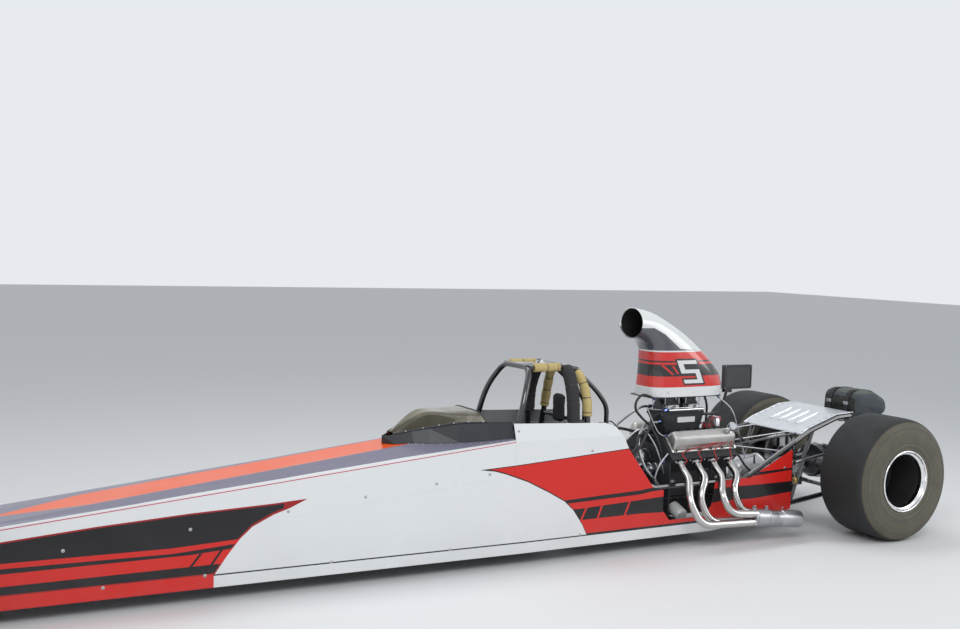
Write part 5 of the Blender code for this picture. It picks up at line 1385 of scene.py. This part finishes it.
caps = [turned(CAP, (1.08, 0, 0.65), (0, 0, 1), 32),
        studs(circle((1.08, 0, 0.768), 0.022, 5, "Z"), (0, 0, 1), 0.006, 0.012, 10),
        block((0.985, -0.045, 0.782), (1.03, 0.045, 0.815), 0.004, 0.006)]
coil = [turned(COIL, (1.045, 0.07, 0.735), (0, 0, 1), 24)]
dark.append(rod((1.008, 0.03, 0.655), (1.008, 0.03, 0.785), 0.006, 10))
LINES = [  # points, radius, finish
    ([(1.62, 0.1, 0.975), (1.735, 0.115, 1.01), (1.795, 0.12, 0.975), (1.803, 0.122, 0.915),
      (1.76, 0.13, 0.86), (1.7, 0.15, 0.8), (1.65, 0.18, 0.7), (1.609, 0.2, 0.56)], 0.0085, "dark"),
    ([(1.56, 0.1, 0.895), (1.7, 0.13, 0.915), (1.724, 0.15, 0.915), (1.648, 0.155, 0.775),
      (1.602, 0.16, 0.733), (1.56, 0.165, 0.728)], 0.0048, "hard"),
    ([(1.06, 0.08, 0.975), (0.985, 0.15, 0.884), (0.924, 0.155, 0.744), (0.901, 0.16, 0.66),
      (0.862, 0.17, 0.54), (0.895, 0.17, 0.466), (0.93, 0.14, 0.42)], 0.005, "braid"),
    ([(1.07, -0.06, 0.98), (1.0, -0.1, 0.88), (0.96, -0.15, 0.74), (0.925, -0.19, 0.59),
      (0.935, -0.13, 0.45)], 0.0085, "dark"),
    ([(1.953, 0.23, 0.56), (1.87, 0.25, 0.66), (1.78, 0.22, 0.76), (1.7, 0.16, 0.82), (1.61, 0.08, 0.86),
      (1.52, 0.1, 0.895)], 0.0095, "dark"),
    ([(1.953, -0.23, 0.5), (1.84, -0.25, 0.62), (1.72, -0.2, 0.76), (1.6, -0.12, 0.88),
      (1.5, -0.112, 0.893)], 0.0095, "braid"),
    ([(1.608, 0.215, 0.3), (1.74, 0.25, 0.33), (1.88, 0.24, 0.42), (1.953, 0.22, 0.53)], 0.0105, "dark"),
    ([(1.608, 0.205, 0.36), (1.7, 0.23, 0.44), (1.8, 0.235, 0.55), (1.83, 0.2, 0.7), (1.72, 0.12, 0.8),
      (1.548, 0.06, 0.81)], 0.0105, "braid"),
    ([(1.03, 0.1, 0.69), (0.93, 0.17, 0.66), (0.8, 0.23, 0.6), (0.68, 0.277, 0.56)], 0.006, "dark"),
]
for points, radius, kind in LINES:
    {"dark": dark, "hard": hard, "braid": braided}[kind].append(hose(points, radius, 14, 10))
    nut, neck = radius * 1.5, radius * 1.25
    fitting = [(0, -0.004), (nut, -0.004), (nut, 0.012), (neck, 0.016), (neck, 0.024), (0, 0.024)]
    for end, near in (points[:2], points[:-3:-1]):
        fittings.append(turned(fitting, end, np.subtract(near, end), 6))
stays = paired([rod((1.031, 0.19, 0.635), (0.452, 0.25, 0.7), 0.008, 12)])
piece("engine_dressing", {
    "steel": hard, "rubber_hose": dark, "lead_red": leads, "red_cap": caps, "braid": braided,
    "anodised": fittings, "machined": starter + coil, "white_enamel": [filter_can],
    "gloss_black": [magneto] + stays,
}, angle=40)

# %% Front drive
def belt(one, one_r, two, two_r, low, high, count=24):
    """A belt round two pulleys: half a circle on each, joined by the straight
    runs, as an outline in Y and Z carried between two stations."""
    one, two = np.array(one), np.array(two)
    way = math.atan2(*(two - one)[::-1])
    lean = math.asin((one_r - two_r) / np.linalg.norm(two - one))
    far = np.linspace(way - math.pi / 2 + lean, way + math.pi / 2 - lean, count)
    near = np.linspace(way + math.pi / 2 - lean, way + 1.5 * math.pi + lean, count)
    ring = np.concatenate([two + two_r * np.stack([np.cos(far), np.sin(far)], 1),
                           one + one_r * np.stack([np.cos(near), np.sin(near)], 1)])
    return hoop_strip(ring, "X", low, high, 0.004)


DRIVE_X = 1.6086
wheels, bolts = [], []
for y, z, radius in ((0.0, 0.4, 0.075), (0.0, 0.555, 0.06), (0.115, 0.5, 0.04)):
    profile = [(0, 0), (radius * 0.9, 0), (radius, 0.004), (radius, 0.01), (radius - 0.006, 0.012),
               (radius - 0.006, 0.05), (radius, 0.052), (radius, 0.058), (radius * 0.9, 0.061),
               (radius * 0.72, 0.056), (radius * 0.45, 0.056), (radius * 0.42, 0.066), (0, 0.067)]
    wheels.append(turned(profile, (DRIVE_X, y, z), (1, 0, 0), 48))
    bolts += [studs([(DRIVE_X + 0.067, y, z)], (1, 0, 0), 0.01, 0.008, 6),
              studs(circle((DRIVE_X + 0.057, y, z), radius * 0.58, 5, "X"), (1, 0, 0), 0.005, 0.004, 6)]
belts = [belt((0.0, 0.4), 0.0735, (0.0, 0.555), 0.0585, DRIVE_X + 0.014, DRIVE_X + 0.048)]
PUMP = [(0, 0), (0.048, 0), (0.052, 0.004), (0.052, 0.018), (0, 0.018)]
pump = [turned(PUMP, (DRIVE_X - 0.004, -0.12, 0.46), (1, 0, 0), 36),
        turned(oblong(0, 0, 0.03, 0.06), (DRIVE_X, -0.12, 0.46), (1, 0, 0), 30)]
piece("belt_drive", {"machined": wheels + pump, "rubber_hose": belts, "steel": bolts,
                     "anodised": [block((DRIVE_X, -0.02, 0.44), (DRIVE_X + 0.008, 0.135, 0.52), 0.002)]},
      ["front_drive"], angle=35)

# %% [markdown]
# ## Gearbox and coupler
# One turned case runs from the bell housing to the rear axle. Real ones are
# cast with a bolted flange at every joint, a flat pan below and a few ribs, so
# those are added round the spun profile.

# %% Gearbox
CASE = [(0, 0), (0.183, 0), (0.185, 0.003), (0.185, 0.016), (0.178, 0.02), (0.15, 0.08), (0.128, 0.16),
        (0.135, 0.172), (0.137, 0.176), (0.137, 0.2), (0.13, 0.205), (0.118, 0.212), (0.116, 0.3),
        (0.112, 0.43), (0.12, 0.436), (0.12, 0.452), (0.1, 0.462), (0.088, 0.48), (0.082, 0.59),
        (0.066, 0.606), (0.052, 0.616), (0.05, 0.65), (0.058, 0.655), (0.058, 0.69), (0.05, 0.695),
        (0.05, 0.8225), (0, 0.8225)]
case = turned(rounded(CASE, 0.003, 3), (1.0295, 0, 0.4), (-1, 0, 0), 64)
flange_bolts = [studs(circle((x, 0, 0.4), radius, 12, "X"), (-1, 0, 0), 0.006, 0.006, 6)
                for x, radius in ((1.011, 0.172), (0.828, 0.126), (0.577, 0.1135))]
case_ribs = [rod(start, end, 0.006, 8) for start, end in zip(circle((0.995, 0, 0.4), 0.16, 12, "X"),
                                                             circle((0.875, 0, 0.4), 0.125, 12, "X"))]
pan = block((0.62, -0.095, 0.268), (0.8, 0.095, 0.292), 0.003, 0.015)
pan_top = block((0.6, -0.105, 0.29), (0.815, 0.105, 0.3), 0.002, 0.012)
levers = [plate([(0.7, 0.47), (0.722, 0.47), (0.716, 0.535), (0.704, 0.535)], "Y", 0.104, 0.11, 0.001),
          rod((0.711, 0.107, 0.528), (1.3, 0.19, 0.47), 0.004, 10)]
piece("gearbox_case", {"cast_aluminium": [case, pan_top] + case_ribs, "satin_black": [pan],
                       "steel": flange_bolts + levers}, ["transmission"], angle=35)

# %% [markdown]
# ## Screen and cockpit
# The screen is thin smoked plastic held to the cowl by a strip with button
# head screws. Inside are a sheet metal seat with a pad in two parts, flat
# belts, a small round steering wheel and three plain gauges. The seat's pads,
# the head cushion and the parachute pack are stuffed, so these four get a
# short cloth simulation.

# %% Smoked screen
SMOKE, DUSTY_SMOKE = (0.6, 0.56, 0.4), (0.54, 0.51, 0.4)
tree, shader = finish("smoked_glass", SMOKE, 0.07, IOR=1.25, Transmission_Weight=0.92)
dust = use(tree, "blotches", Scale=7.0, Cover=0.55, Soft=0.25)
spread(tree, shader, "Roughness", 0.05, 0.16, dust.outputs["Mask"])
stained(tree, shader, dust.outputs["Mask"], SMOKE, DUSTY_SMOKE)
dress("windscreen", "smoked_glass")
SCREEN = np.array([  # station, foot's y and z, top edge's y and z
    (3.56, 0.044, 0.8278, 0.022, 0.8338), (3.38, 0.148, 0.8743, 0.085, 0.944),
    (3.21, 0.218, 0.9043, 0.13, 0.95), (3.03, 0.26, 0.9073, 0.15, 0.952)])
arches = []
for x, foot_y, foot_z, top_y, top_z in smooth(SCREEN, 8):
    arch = smooth([(x, foot_y, foot_z), (x, top_y, top_z), (x, 0, top_z + 0.006), (x, -top_y, top_z),
                   (x, -foot_y, foot_z)], 8)
    arches.append(np.concatenate([arch, (arch * (1, 0.988, 1) - (0, 0, 0.002))[::-1]]))
piece("bent_screen", {"smoked_glass": [grid(np.array(arches), wrap_cols=True, caps=True)]},
      ["windscreen"], angle=50)
foot = smooth(SCREEN[:, :3], 6) + (0, 0.004, 0.001)
screws = studs(foot[2::3] + (0, 0.003, 0.004), (0, 0.6, 0.8), 0.0045, 0.003, 10)
LIP_BACK = [(3.026, 0.262, 0.906), (2.955, 0.276, 0.9055), (2.872, 0.29, 0.905)]
BACK_EDGE = [(3.03, 0.26, 0.9083), (3.03, 0.15, 0.953), (3.03, 0, 0.959), (3.03, -0.15, 0.953),
             (3.03, -0.26, 0.9083)]
strips = paired([tube(foot, 0.0055, 10), tube(LIP_BACK, 0.0042, 10)]) + [hose(BACK_EDGE, 0.0038, 10, 6)]
piece("screen_trim", {"satin_black": strips, "steel": paired([screws])})

# %% Soft pieces by simulation
SEATED = [(2.78, 0.25, 0.02), (2.68, 0.15, 0.07), (2.56, 0.0913, 0.1), (2.33, 0.0913, 0.12),
          (2.22, 0.17, 0.14), (2.14, 0.45, 0.14), (2.11, 0.78, 0.05)]


def cooked(thing):
    """Makes the piece's modifiers real and clears them."""
    graph = bpy.context.evaluated_depsgraph_get()
    mesh = bpy.data.meshes.new_from_object(thing.evaluated_get(graph))
    thing.modifiers.clear()
    thing.data = mesh


def puffed(thing, voxel, reach, levels=1):
    """Blows a closed form up as cloth does: an even remesh, 20 steps of cloth
    with air pressure and no gravity, then each point held within `reach` of
    where it began, and one smooth subdivision."""
    remesh = thing.modifiers.new("even", "REMESH")
    remesh.mode, remesh.voxel_size, remesh.use_smooth_shade = "VOXEL", voxel, True
    cooked(thing)
    before = np.empty(len(thing.data.vertices) * 3)
    thing.data.vertices.foreach_get("co", before)
    cloth = thing.modifiers.new("cloth", "CLOTH")
    cloth.settings.use_pressure, cloth.settings.uniform_pressure_force = True, 4.0
    cloth.settings.effector_weights.gravity = 0
    scene = bpy.context.scene
    for frame in range(1, 21):
        scene.frame_set(frame)
    cooked(thing)
    scene.frame_set(1)
    after = np.empty(len(before))
    thing.data.vertices.foreach_get("co", after)
    move = (after - before).reshape(-1, 3)
    far = np.linalg.norm(move, axis=1, keepdims=True)
    move *= np.minimum(1.0, reach / np.maximum(far, 1e-9))
    thing.data.vertices.foreach_set("co", (before.reshape(-1, 3) + move).ravel())
    finer = thing.modifiers.new("finer", "SUBSURF")
    finer.levels = finer.render_levels = levels
    cooked(thing)
    thing.data.shade_smooth()
    print(thing.name, len(thing.data.polygons), "faces after the cloth")


def swept(path, ring, ends=True):
    """Carries a closed ring of (across, lift) along a path of (station, height)."""
    path = np.asarray(path, float)
    run = np.gradient(path, axis=0)
    run /= np.linalg.norm(run, axis=1, keepdims=True)
    up = np.stack([run[:, 1], -run[:, 0]], 1)
    up *= np.where(up.sum(1) < 0, -1, 1)[:, None]
    ring = np.asarray(ring, float)
    if ring.ndim == 2:
        ring = np.repeat(ring[None], len(path), 0)
    flat = path[:, None, :] + up[:, None, :] * ring[:, :, 1:2]
    rows = np.stack([flat[..., 0], np.broadcast_to(ring[:, :, 0], flat.shape[:2]), flat[..., 1]], -1)
    return grid(rows, wrap_cols=True, caps=ends)


def webbing(points, wide, width=0.046, thick=0.003):
    """A flat strap: a thin rectangle carried along a smooth path."""
    path = smooth(points, 8)
    run = np.gradient(path, axis=0)
    wide = unit(wide)
    off = np.cross(run, wide)
    off /= np.linalg.norm(off, axis=1, keepdims=True)
    corners = ((1, 1), (1, -1), (-1, -1), (-1, 1))
    rows = np.stack([path + wide * (a * width / 2) + off * (b * thick / 2) for a, b in corners], 1)
    return grid(rows, wrap_cols=True, caps=True)


# %% Seat, pad and belts
cast("belt_black", (0.02, 0.02, 0.024), 0.72, 0.0, 0.0006, 700.0)
cast("quilted_black", (0.016, 0.016, 0.018), 0.8, 0.0, 0.001, 520.0)
seat_line = smooth(np.array(SEATED), 6)
shell = []
for x, z, wing in seat_line:
    across = np.array([-0.23, -0.215, -0.185, 0.185, 0.215, 0.23])
    lift = np.array([wing, 0.02, 0, 0, 0.02, wing])
    upper = np.stack([across, lift], 1)
    shell.append(np.concatenate([upper, upper[::-1] - (0, 0.003)]))
piece("seat_shell", {"aluminium": [swept(seat_line[:, :2], np.array(shell))]}, ["seat"])
angles = full_turn(40)
pad_ring = np.stack([0.172 * signed_power(np.cos(angles), 0.35),
                     0.024 + 0.014 * signed_power(np.sin(angles), 0.6)], 1)
for name, low, high in (("seat_pad_low", 3, 20), ("seat_pad_back", 24, 36)):
    pad = piece(name, {"quilted_black": [swept(seat_line[low:high, :2], pad_ring)]})
    puffed(pad, 0.009, 0.01)
BUCKLE = [(0, -0.008), (0.034, -0.008), (0.036, -0.004), (0.036, 0.006), (0.03, 0.01), (0, 0.011)]
SHOULDER = [(2.118, 0.075, 0.795), (2.175, 0.075, 0.78), (2.19, 0.075, 0.64), (2.215, 0.07, 0.47),
            (2.29, 0.05, 0.33), (2.41, 0.022, 0.268)]
LAP = [(2.3, 0.212, 0.215), (2.33, 0.16, 0.245), (2.4, 0.08, 0.258), (2.43, 0.02, 0.262)]
straps = paired([webbing(SHOULDER, (0, 1, 0)), webbing(LAP, (0.55, 0, 0.85), 0.05)])
buckles = paired([block((2.183, 0.048, 0.586), (2.196, 0.102, 0.626), 0.002, 0.006)])
buckles.append(turned(BUCKLE, (2.435, 0.0, 0.262), (0.85, 0, 0.5), 32))
piece("harness", {"belt_black": straps, "steel": buckles})
cushion = block((2.317, -0.047, 0.843), (2.371, 0.047, 1.027), 0.018, 0.02)
head = piece("head_cushion", {"quilted_black": [cushion]}, ["head_pad"])
puffed(head, 0.005, 0.007)

# %% Wheel grip and gauges
HUB_AT, COLUMN = np.array((3.08, 0, 0.8)), unit((0.34, 0, -0.08))
glossy_paint("gauge_face", (0.66, 0.66, 0.64), 0.25, 0.04)
GRIP_R = 0.1


def on_wheel(angle):
    """Unit vectors from the steering wheel's middle, square to its column."""
    across, up = np.array((0, 1, 0)), np.array((-COLUMN[2], 0, COLUMN[0]))
    return np.cos(angle)[:, None] * across + np.sin(angle)[:, None] * up


turns, ring = full_turn(72), full_turn(16)[None, :, None]
out = on_wheel(turns)[:, None]
thick = (0.0122 + 0.0012 * np.cos(turns * 24))[:, None, None]
grip = HUB_AT + GRIP_R * out + thick * (np.cos(ring) * out + np.sin(ring) * COLUMN)
boss = turned([(0, -0.016), (0.024, -0.016), (0.028, -0.012), (0.03, 0.0), (0, 0.0)], HUB_AT, COLUMN, 32)
spots = HUB_AT - COLUMN * 0.016 + 0.017 * on_wheel(full_turn(5))
piece("wheel_grip", {"black_cloth": [grid(grip, wrap_rows=True, wrap_cols=True)], "machined": [boss],
                     "steel": [studs(spots, -COLUMN, 0.0035, 0.003, 6)]},
      body="steering_wheel", angle=50)
DASH_X = 3.2998
bezels, faces, hands = [], [], []
for y, z, radius in ((0.12, 0.7, 0.034), (-0.12, 0.7, 0.034), (0.0, 0.66, 0.048)):
    inner, outer = radius * 0.86, radius * 1.04
    bezel = [(inner, 0.0), (inner, 0.018), (radius, 0.02), (outer, 0.016), (outer, 0.0)]
    bezels.append(turned(bezel, (DASH_X, y, z), (-1, 0, 0), 36, hollow=True))
    faces.append(turned(oblong(0, 0, radius * 0.88, 0.012), (DASH_X, y, z), (-1, 0, 0), 36))
    hands.append(rod((DASH_X - 0.013, y, z), (DASH_X - 0.013, y - radius * 0.5, z + radius * 0.5), 0.0013, 6))
lamps = studs([(DASH_X, y, 0.742) for y in (-0.055, -0.03, 0.03, 0.055)], (-1, 0, 0), 0.006, 0.006, 12)
piece("gauges", {"machined": bezels, "gauge_face": faces, "red_cap": hands + [lamps]})

# %% [markdown]
# ## Rear deck, pack and board
# The deck is one bright sheet with pressed beads, a rolled edge and a row of
# rivets. The parachute pack behind it is a stuffed cloth bag, closed with two
# straps and their slides. The dial board is a flat box, and its faces stay
# blank.

# %% Deck details
DECK_PATH = [(0.952, 0.426), (0.373, 0.719), (0.111, 0.804), (-0.06, 0.815)]


def deck_z(x):
    """The deck's upper face at a station."""
    stations, heights = zip(*DECK_PATH[::-1])
    return np.interp(x, stations, heights) + 0.0272


def on_deck(x, y, lift):
    """Points over the deck at stations x, a distance y from the middle."""
    x = np.asarray(x, float)
    return np.stack([x, np.full(len(x), y), deck_z(x) + lift], 1)


BEAD_X, BEAD_TURN = np.linspace(0.345, 0.13, 16), np.linspace(0.12, np.pi - 0.12, 16)
beads = [tube(on_deck(BEAD_X, y, -0.002), 0.013 * np.sin(BEAD_TURN) ** 0.35, 14) for y in (0.045, 0.135)]
edge = tube(on_deck([0.452, 0.373, 0.111, -0.058], 0.3, -0.003), 0.0045, 10)
front_edge = rod((0.452, -0.3, deck_z(0.452) - 0.003), (0.452, 0.3, deck_z(0.452) - 0.003), 0.0048, 10)
rivets = studs(on_deck(np.linspace(0.425, -0.035, 9), 0.284, -0.001), (0.2, 0, 1), 0.005, 0.003, 12)
piece("deck_beads", {"deck_aluminium": paired(beads + [edge]) + [front_edge], "steel": paired([rivets])})

# %% Parachute pack
def pack_cloth():
    """Woven cloth in three colours: black in front, a grey-green lid, and
    blue-grey sides, with dust over all."""
    tree, shader = finish("pack_cloth", (0.02, 0.02, 0.02), 0.85)
    x, _, z = where(tree)
    lid = height_line(tree, x, [(-0.6, 0.9), (-0.44, 0.945), (-0.2, 0.945)])
    colour = over(tree, below(tree, -0.235, x), (0.055, 0.068, 0.08), (0.014, 0.015, 0.015))
    colour = over(tree, below(tree, lid, z), colour, (0.11, 0.13, 0.115))
    film = use(tree, "blotches", Scale=18.0, Cover=0.55, Soft=0.25)
    veil = sum_up(tree, "MULTIPLY", film.outputs["Mask"], 0.25)
    stained(tree, shader, veil, colour, (0.16, 0.16, 0.15))
    grain = use(tree, "grain", Scale=650.0)
    spread(tree, shader, "Roughness", 0.75, 0.95, grain.outputs["Value"])
    dented(tree, shader, grain.outputs["Height"], 0.001)


pack_cloth()
PACK = [(-0.215, 0.778), (-0.232, 0.925), (-0.268, 0.96), (-0.438, 0.956), (-0.56, 0.896), (-0.586, 0.828),
        (-0.56, 0.778)]
bag = plate(rounded(PACK, 0.03, 4, closed=True), "Y", -0.16, 0.16, 0.012)
pack = piece("chute_pack", {"pack_cloth": [bag]}, ["parachute_pack"])
puffed(pack, 0.008, 0.012)
wrap = inset(rounded(PACK, 0.035, 5, closed=True), -0.013)
bands = [hoop_strip(wrap, "Y", y - 0.019, y + 0.019, 0.0035) for y in (-0.085, 0.085)]
slides = [block((-0.216, y - 0.024, 0.858), (-0.204, y + 0.024, 0.884), 0.002, 0.004)
          for y in (-0.085, 0.085)]
piece("pack_straps", {"belt_black": bands, "steel": slides})

# %% Dial board
glossy_paint("blank_face", (0.03, 0.032, 0.036), 0.18, 0.06)
edge = rounded(oblong(0.688, 1.008, 0.942, 1.182), 0.006, 3, closed=True)
trim = hoop_strip(edge, "Y", -0.0175, 0.0175, 0.01)
face = plate(oblong(0.702, 1.022, 0.928, 1.168), "Y", 0.015, 0.016, 0.0003)
screws = studs([(x, 0.0175, z) for x in (0.694, 0.936) for z in (1.014, 1.176)], (0, 1, 0), 0.0035, 0.002, 8)
mount = plate(oblong(0.87, 0.985, 0.935, 1.02), "Y", 0.011, 0.017, 0.0005)
wire_run = hose([(0.905, 0.008, 1.008), (0.925, 0.014, 0.95), (0.962, 0.014, 0.87), (1.02, 0.02, 0.838),
                 (1.09, 0.03, 0.8), (1.12, 0.05, 0.715)], 0.0045, 10)
piece("board_trim", {"satin_black": [trim] + paired([mount]), "blank_face": paired([face]),
                     "steel": paired([screws]), "rubber_hose": [wire_run]})

# %% [markdown]
# ## Fasteners, brakes and small lines
# Body panels of this kind come off in a minute, so they are held by quarter
# turn fasteners: a dished washer with a slotted button. Button head screws hold
# the cowl. Behind, each brake disc has its caliper on the axle's bracket, and
# thin hard lines run to it. Every one is a few studs, blocks or tubes.

# %% Panel fasteners and cowl screws
brushed_metal("fastener_zinc", (0.5, 0.5, 0.5), 0.34, (40.0, 40.0, 40.0))
TURNS = [(3.4, 0.567), (3.85, 0.521), (3.045, 0.599), (4.31, 0.473), (2.374, 0.163), (4.852, 0.419),
         (4.77, 0.158), (5.498, 0.365), (3.3, 0.16), (4.05, 0.16), (5.3, 0.15), (5.86, 0.33), (1.3, 0.15),
         (0.64, 0.19), (0.64, 0.48), (2.3, 0.7), (2.84, 0.85)]
x, z = np.array(TURNS).T
spots = np.stack([x, half_width(x) - 0.035 * np.clip((z - 0.79) / 0.108, 0, 1) * (x < 2.877), z], 1)
washers = studs(spots, (0, 1, 0), 0.0095, 0.0014, 18)
buttons = studs(spots + (0, 0.0012, 0), (0, 1, 0), 0.0058, 0.0016, 14)
slots = [rod(spot + (-0.0045, 0.0024, 0.002), spot + (0.0045, 0.0024, -0.002), 0.0009, 6) for spot in spots]
COWL_FOOT = [(3.5, 0.12), (3.38, 0.19), (3.21, 0.245), (3.03, 0.29), (2.9, 0.312)]


def cover_height(x, y):
    """Height of the top cover's face at a station and a distance out."""
    flat, wide = 0.145, half_width(x)
    return crease(x) + top_rise(x) * np.clip((wide - y) / (wide - flat), 0, 1)


foot = smooth(np.array([(x, y + 0.012, 0.0) for x, y in COWL_FOOT]), 3)
foot[:, 2] = cover_height(foot[:, 0], foot[:, 1])
heads = studs(foot + (0, 0, 0.0002), (0, 0.3, 1), 0.0048, 0.0024, 12)
piece("panel_fasteners", {"fastener_zinc": paired([washers, buttons, heads]), "satin_black": paired(slots)})

# %% Brakes and hard lines at the axle
polished("plate_blue", (0.46, 0.52, 0.62), 0.24, 0.36)
PISTON = [(0, 0), (0.022, 0), (0.024, 0.003), (0.024, 0.01), (0, 0.011)]
AXLE_FLANGE = [(0.046, -0.006), (0.06, -0.006), (0.062, -0.003), (0.062, 0.003), (0.06, 0.006),
               (0.046, 0.006)]
RESERVOIR = [(0, 0), (0.018, 0), (0.021, 0.004), (0.021, 0.036), (0.014, 0.044), (0, 0.044)]
calipers = [rod((x, 0.37, z), (x, 0.413, z), 0.006, 12) for x in (-0.146, -0.092) for z in (0.412, 0.498)]
for y, way in ((0.376, -1), (0.407, 1)):
    calipers += [block((-0.15, y - 0.0065, 0.405), (-0.088, y + 0.0065, 0.505), 0.003, 0.012),
                 turned(PISTON, (-0.118, y, 0.455), (0, way, 0), 24)]
calipers.append(turned(AXLE_FLANGE, (0, 0.352, REAR_WHEEL_Z), (0, 1, 0), 40, hollow=True))
pad = block((-0.14, 0.384, 0.415), (-0.134, 0.399, 0.495), 0.001)
lines = [hose([(-0.118, 0.362, 0.505), (-0.105, 0.335, 0.545), (-0.05, 0.3, 0.5), (0.0, 0.22, 0.49),
               (0.01, 0.13, 0.52), (0.03, 0.03, 0.545)], 0.004, 10),
         studs(circle((0, 0.352, REAR_WHEEL_Z), 0.052, 8), (0, -1, 0), 0.0048, 0.01, 6),
         hose([(0.5, 0.305, 0.394), (0.51, 0.302, 0.43), (0.525, 0.3, 0.462), (0.538, 0.298, 0.495)],
              0.004, 10, 7)]
reservoir = turned(RESERVOIR, (0.5, 0.305, 0.35), (0, 0.2, 1), 24)
plates = [block((0.425, 0.298, 0.335), (0.47, 0.305, 0.4), 0.002, 0.004),
          rod((0.5, 0.305, 0.352), (0.54, 0.318, 0.35), 0.006, 10),
          rod((0.47, 0.3015, 0.37), (0.54, 0.318, 0.372), 0.005, 10)]
COVER_DISH = [(0, 0.1), (0.085, 0.1), (0.112, 0.092), (0.118, 0.088), (0.118, 0.106), (0.108, 0.11),
              (0.08, 0.126), (0.05, 0.134), (0, 0.136)]
cover = turned(COVER_DISH, (0, 0, REAR_WHEEL_Z), (-1, 0, 0), 48)
cover_bolts = studs(circle((-0.108, 0, REAR_WHEEL_Z), 0.1, 10, "X"), (-1, 0, 0), 0.006, 0.012, 6)
piece("rear_brakes", {
    "satin_black": paired([pad]), "cast_aluminium": paired(calipers) + [cover],
    "steel": paired(lines) + [cover_bolts], "brass": paired([reservoir]), "plate_blue": paired(plates),
}, angle=40)

# %% Stays, hoses and wires round the engine bay
stays = [rod((1.031, 0.17, 0.665), (0.452, 0.17, 0.702), 0.006, 12),
         rod((1.031, 0.21, 0.64), (0.64, 0.29, 0.59), 0.005, 12),
         rod((1.07, 0.27, 0.43), (0.83, 0.12, 0.47), 0.006, 12)]
hoses = [hose([(1.95, 0.23, 0.6), (1.88, 0.245, 0.68), (1.83, 0.2, 0.74), (1.72, 0.12, 0.74),
               (1.548, 0.06, 0.69)], 0.0105, 14),
         hose([(1.952, 0.18, 0.5), (1.9, 0.2, 0.42), (1.8, 0.22, 0.33), (1.68, 0.2, 0.24),
               (1.6, 0.185, 0.21)], 0.0095, 14),
         hose([(1.03, 0.2, 0.62), (0.96, 0.22, 0.56), (0.9, 0.24, 0.48), (0.78, 0.255, 0.4),
               (0.556, 0.288, 0.35)], 0.0075),
         hose([(1.1, 0.1, 0.76), (0.98, 0.16, 0.735), (0.86, 0.19, 0.64), (0.68, 0.16, 0.53),
               (0.5, 0.08, 0.43), (0.43, 0.03, 0.41)], 0.006)]
bright = [hose([(1.955, 0.12, 0.62), (1.9, 0.14, 0.7), (1.8, 0.18, 0.79), (1.7, 0.19, 0.7),
                (1.64, 0.21, 0.56), (1.6, 0.2, 0.46)], 0.0055),
          hose([(1.61, 0.24, 0.62), (1.69, 0.265, 0.56), (1.72, 0.255, 0.47), (1.7, 0.24, 0.4),
                (1.62, 0.22, 0.36)], 0.006)]
TANK = [(0, 0), (0.04, 0.004), (0.048, 0.014), (0.048, 0.19), (0.04, 0.2), (0.018, 0.204), (0.018, 0.222),
        (0.024, 0.224), (0.024, 0.234), (0, 0.236)]
SMALL_TANK = [(0, 0), (0.03, 0.003), (0.034, 0.01), (0.034, 0.11), (0.028, 0.12), (0, 0.122)]
tank = [turned(TANK, (1.885, -0.15, 0.56), (0, 0, 1), 32),
        turned(SMALL_TANK, (1.87, 0.205, 0.43), (0, 0, 1), 28)]
holds = [block((1.925, -0.175, z), (1.956, -0.125, z + 0.014), 0.002) for z in (0.575, 0.615)]
holds.append(block((1.895, 0.195, 0.47), (1.956, 0.215, 0.484), 0.002))
straps = [ring_band((1.885, -0.15, z), (0, 0, 1), 0.0492, 0.012, 0.002) for z in (0.61, 0.71)]
piece("bay_lines", {
    "steel": paired(stays), "rubber_hose": paired(hoses), "braid": paired(bright), "machined": tank,
    "satin_black": straps + holds,
}, angle=45)
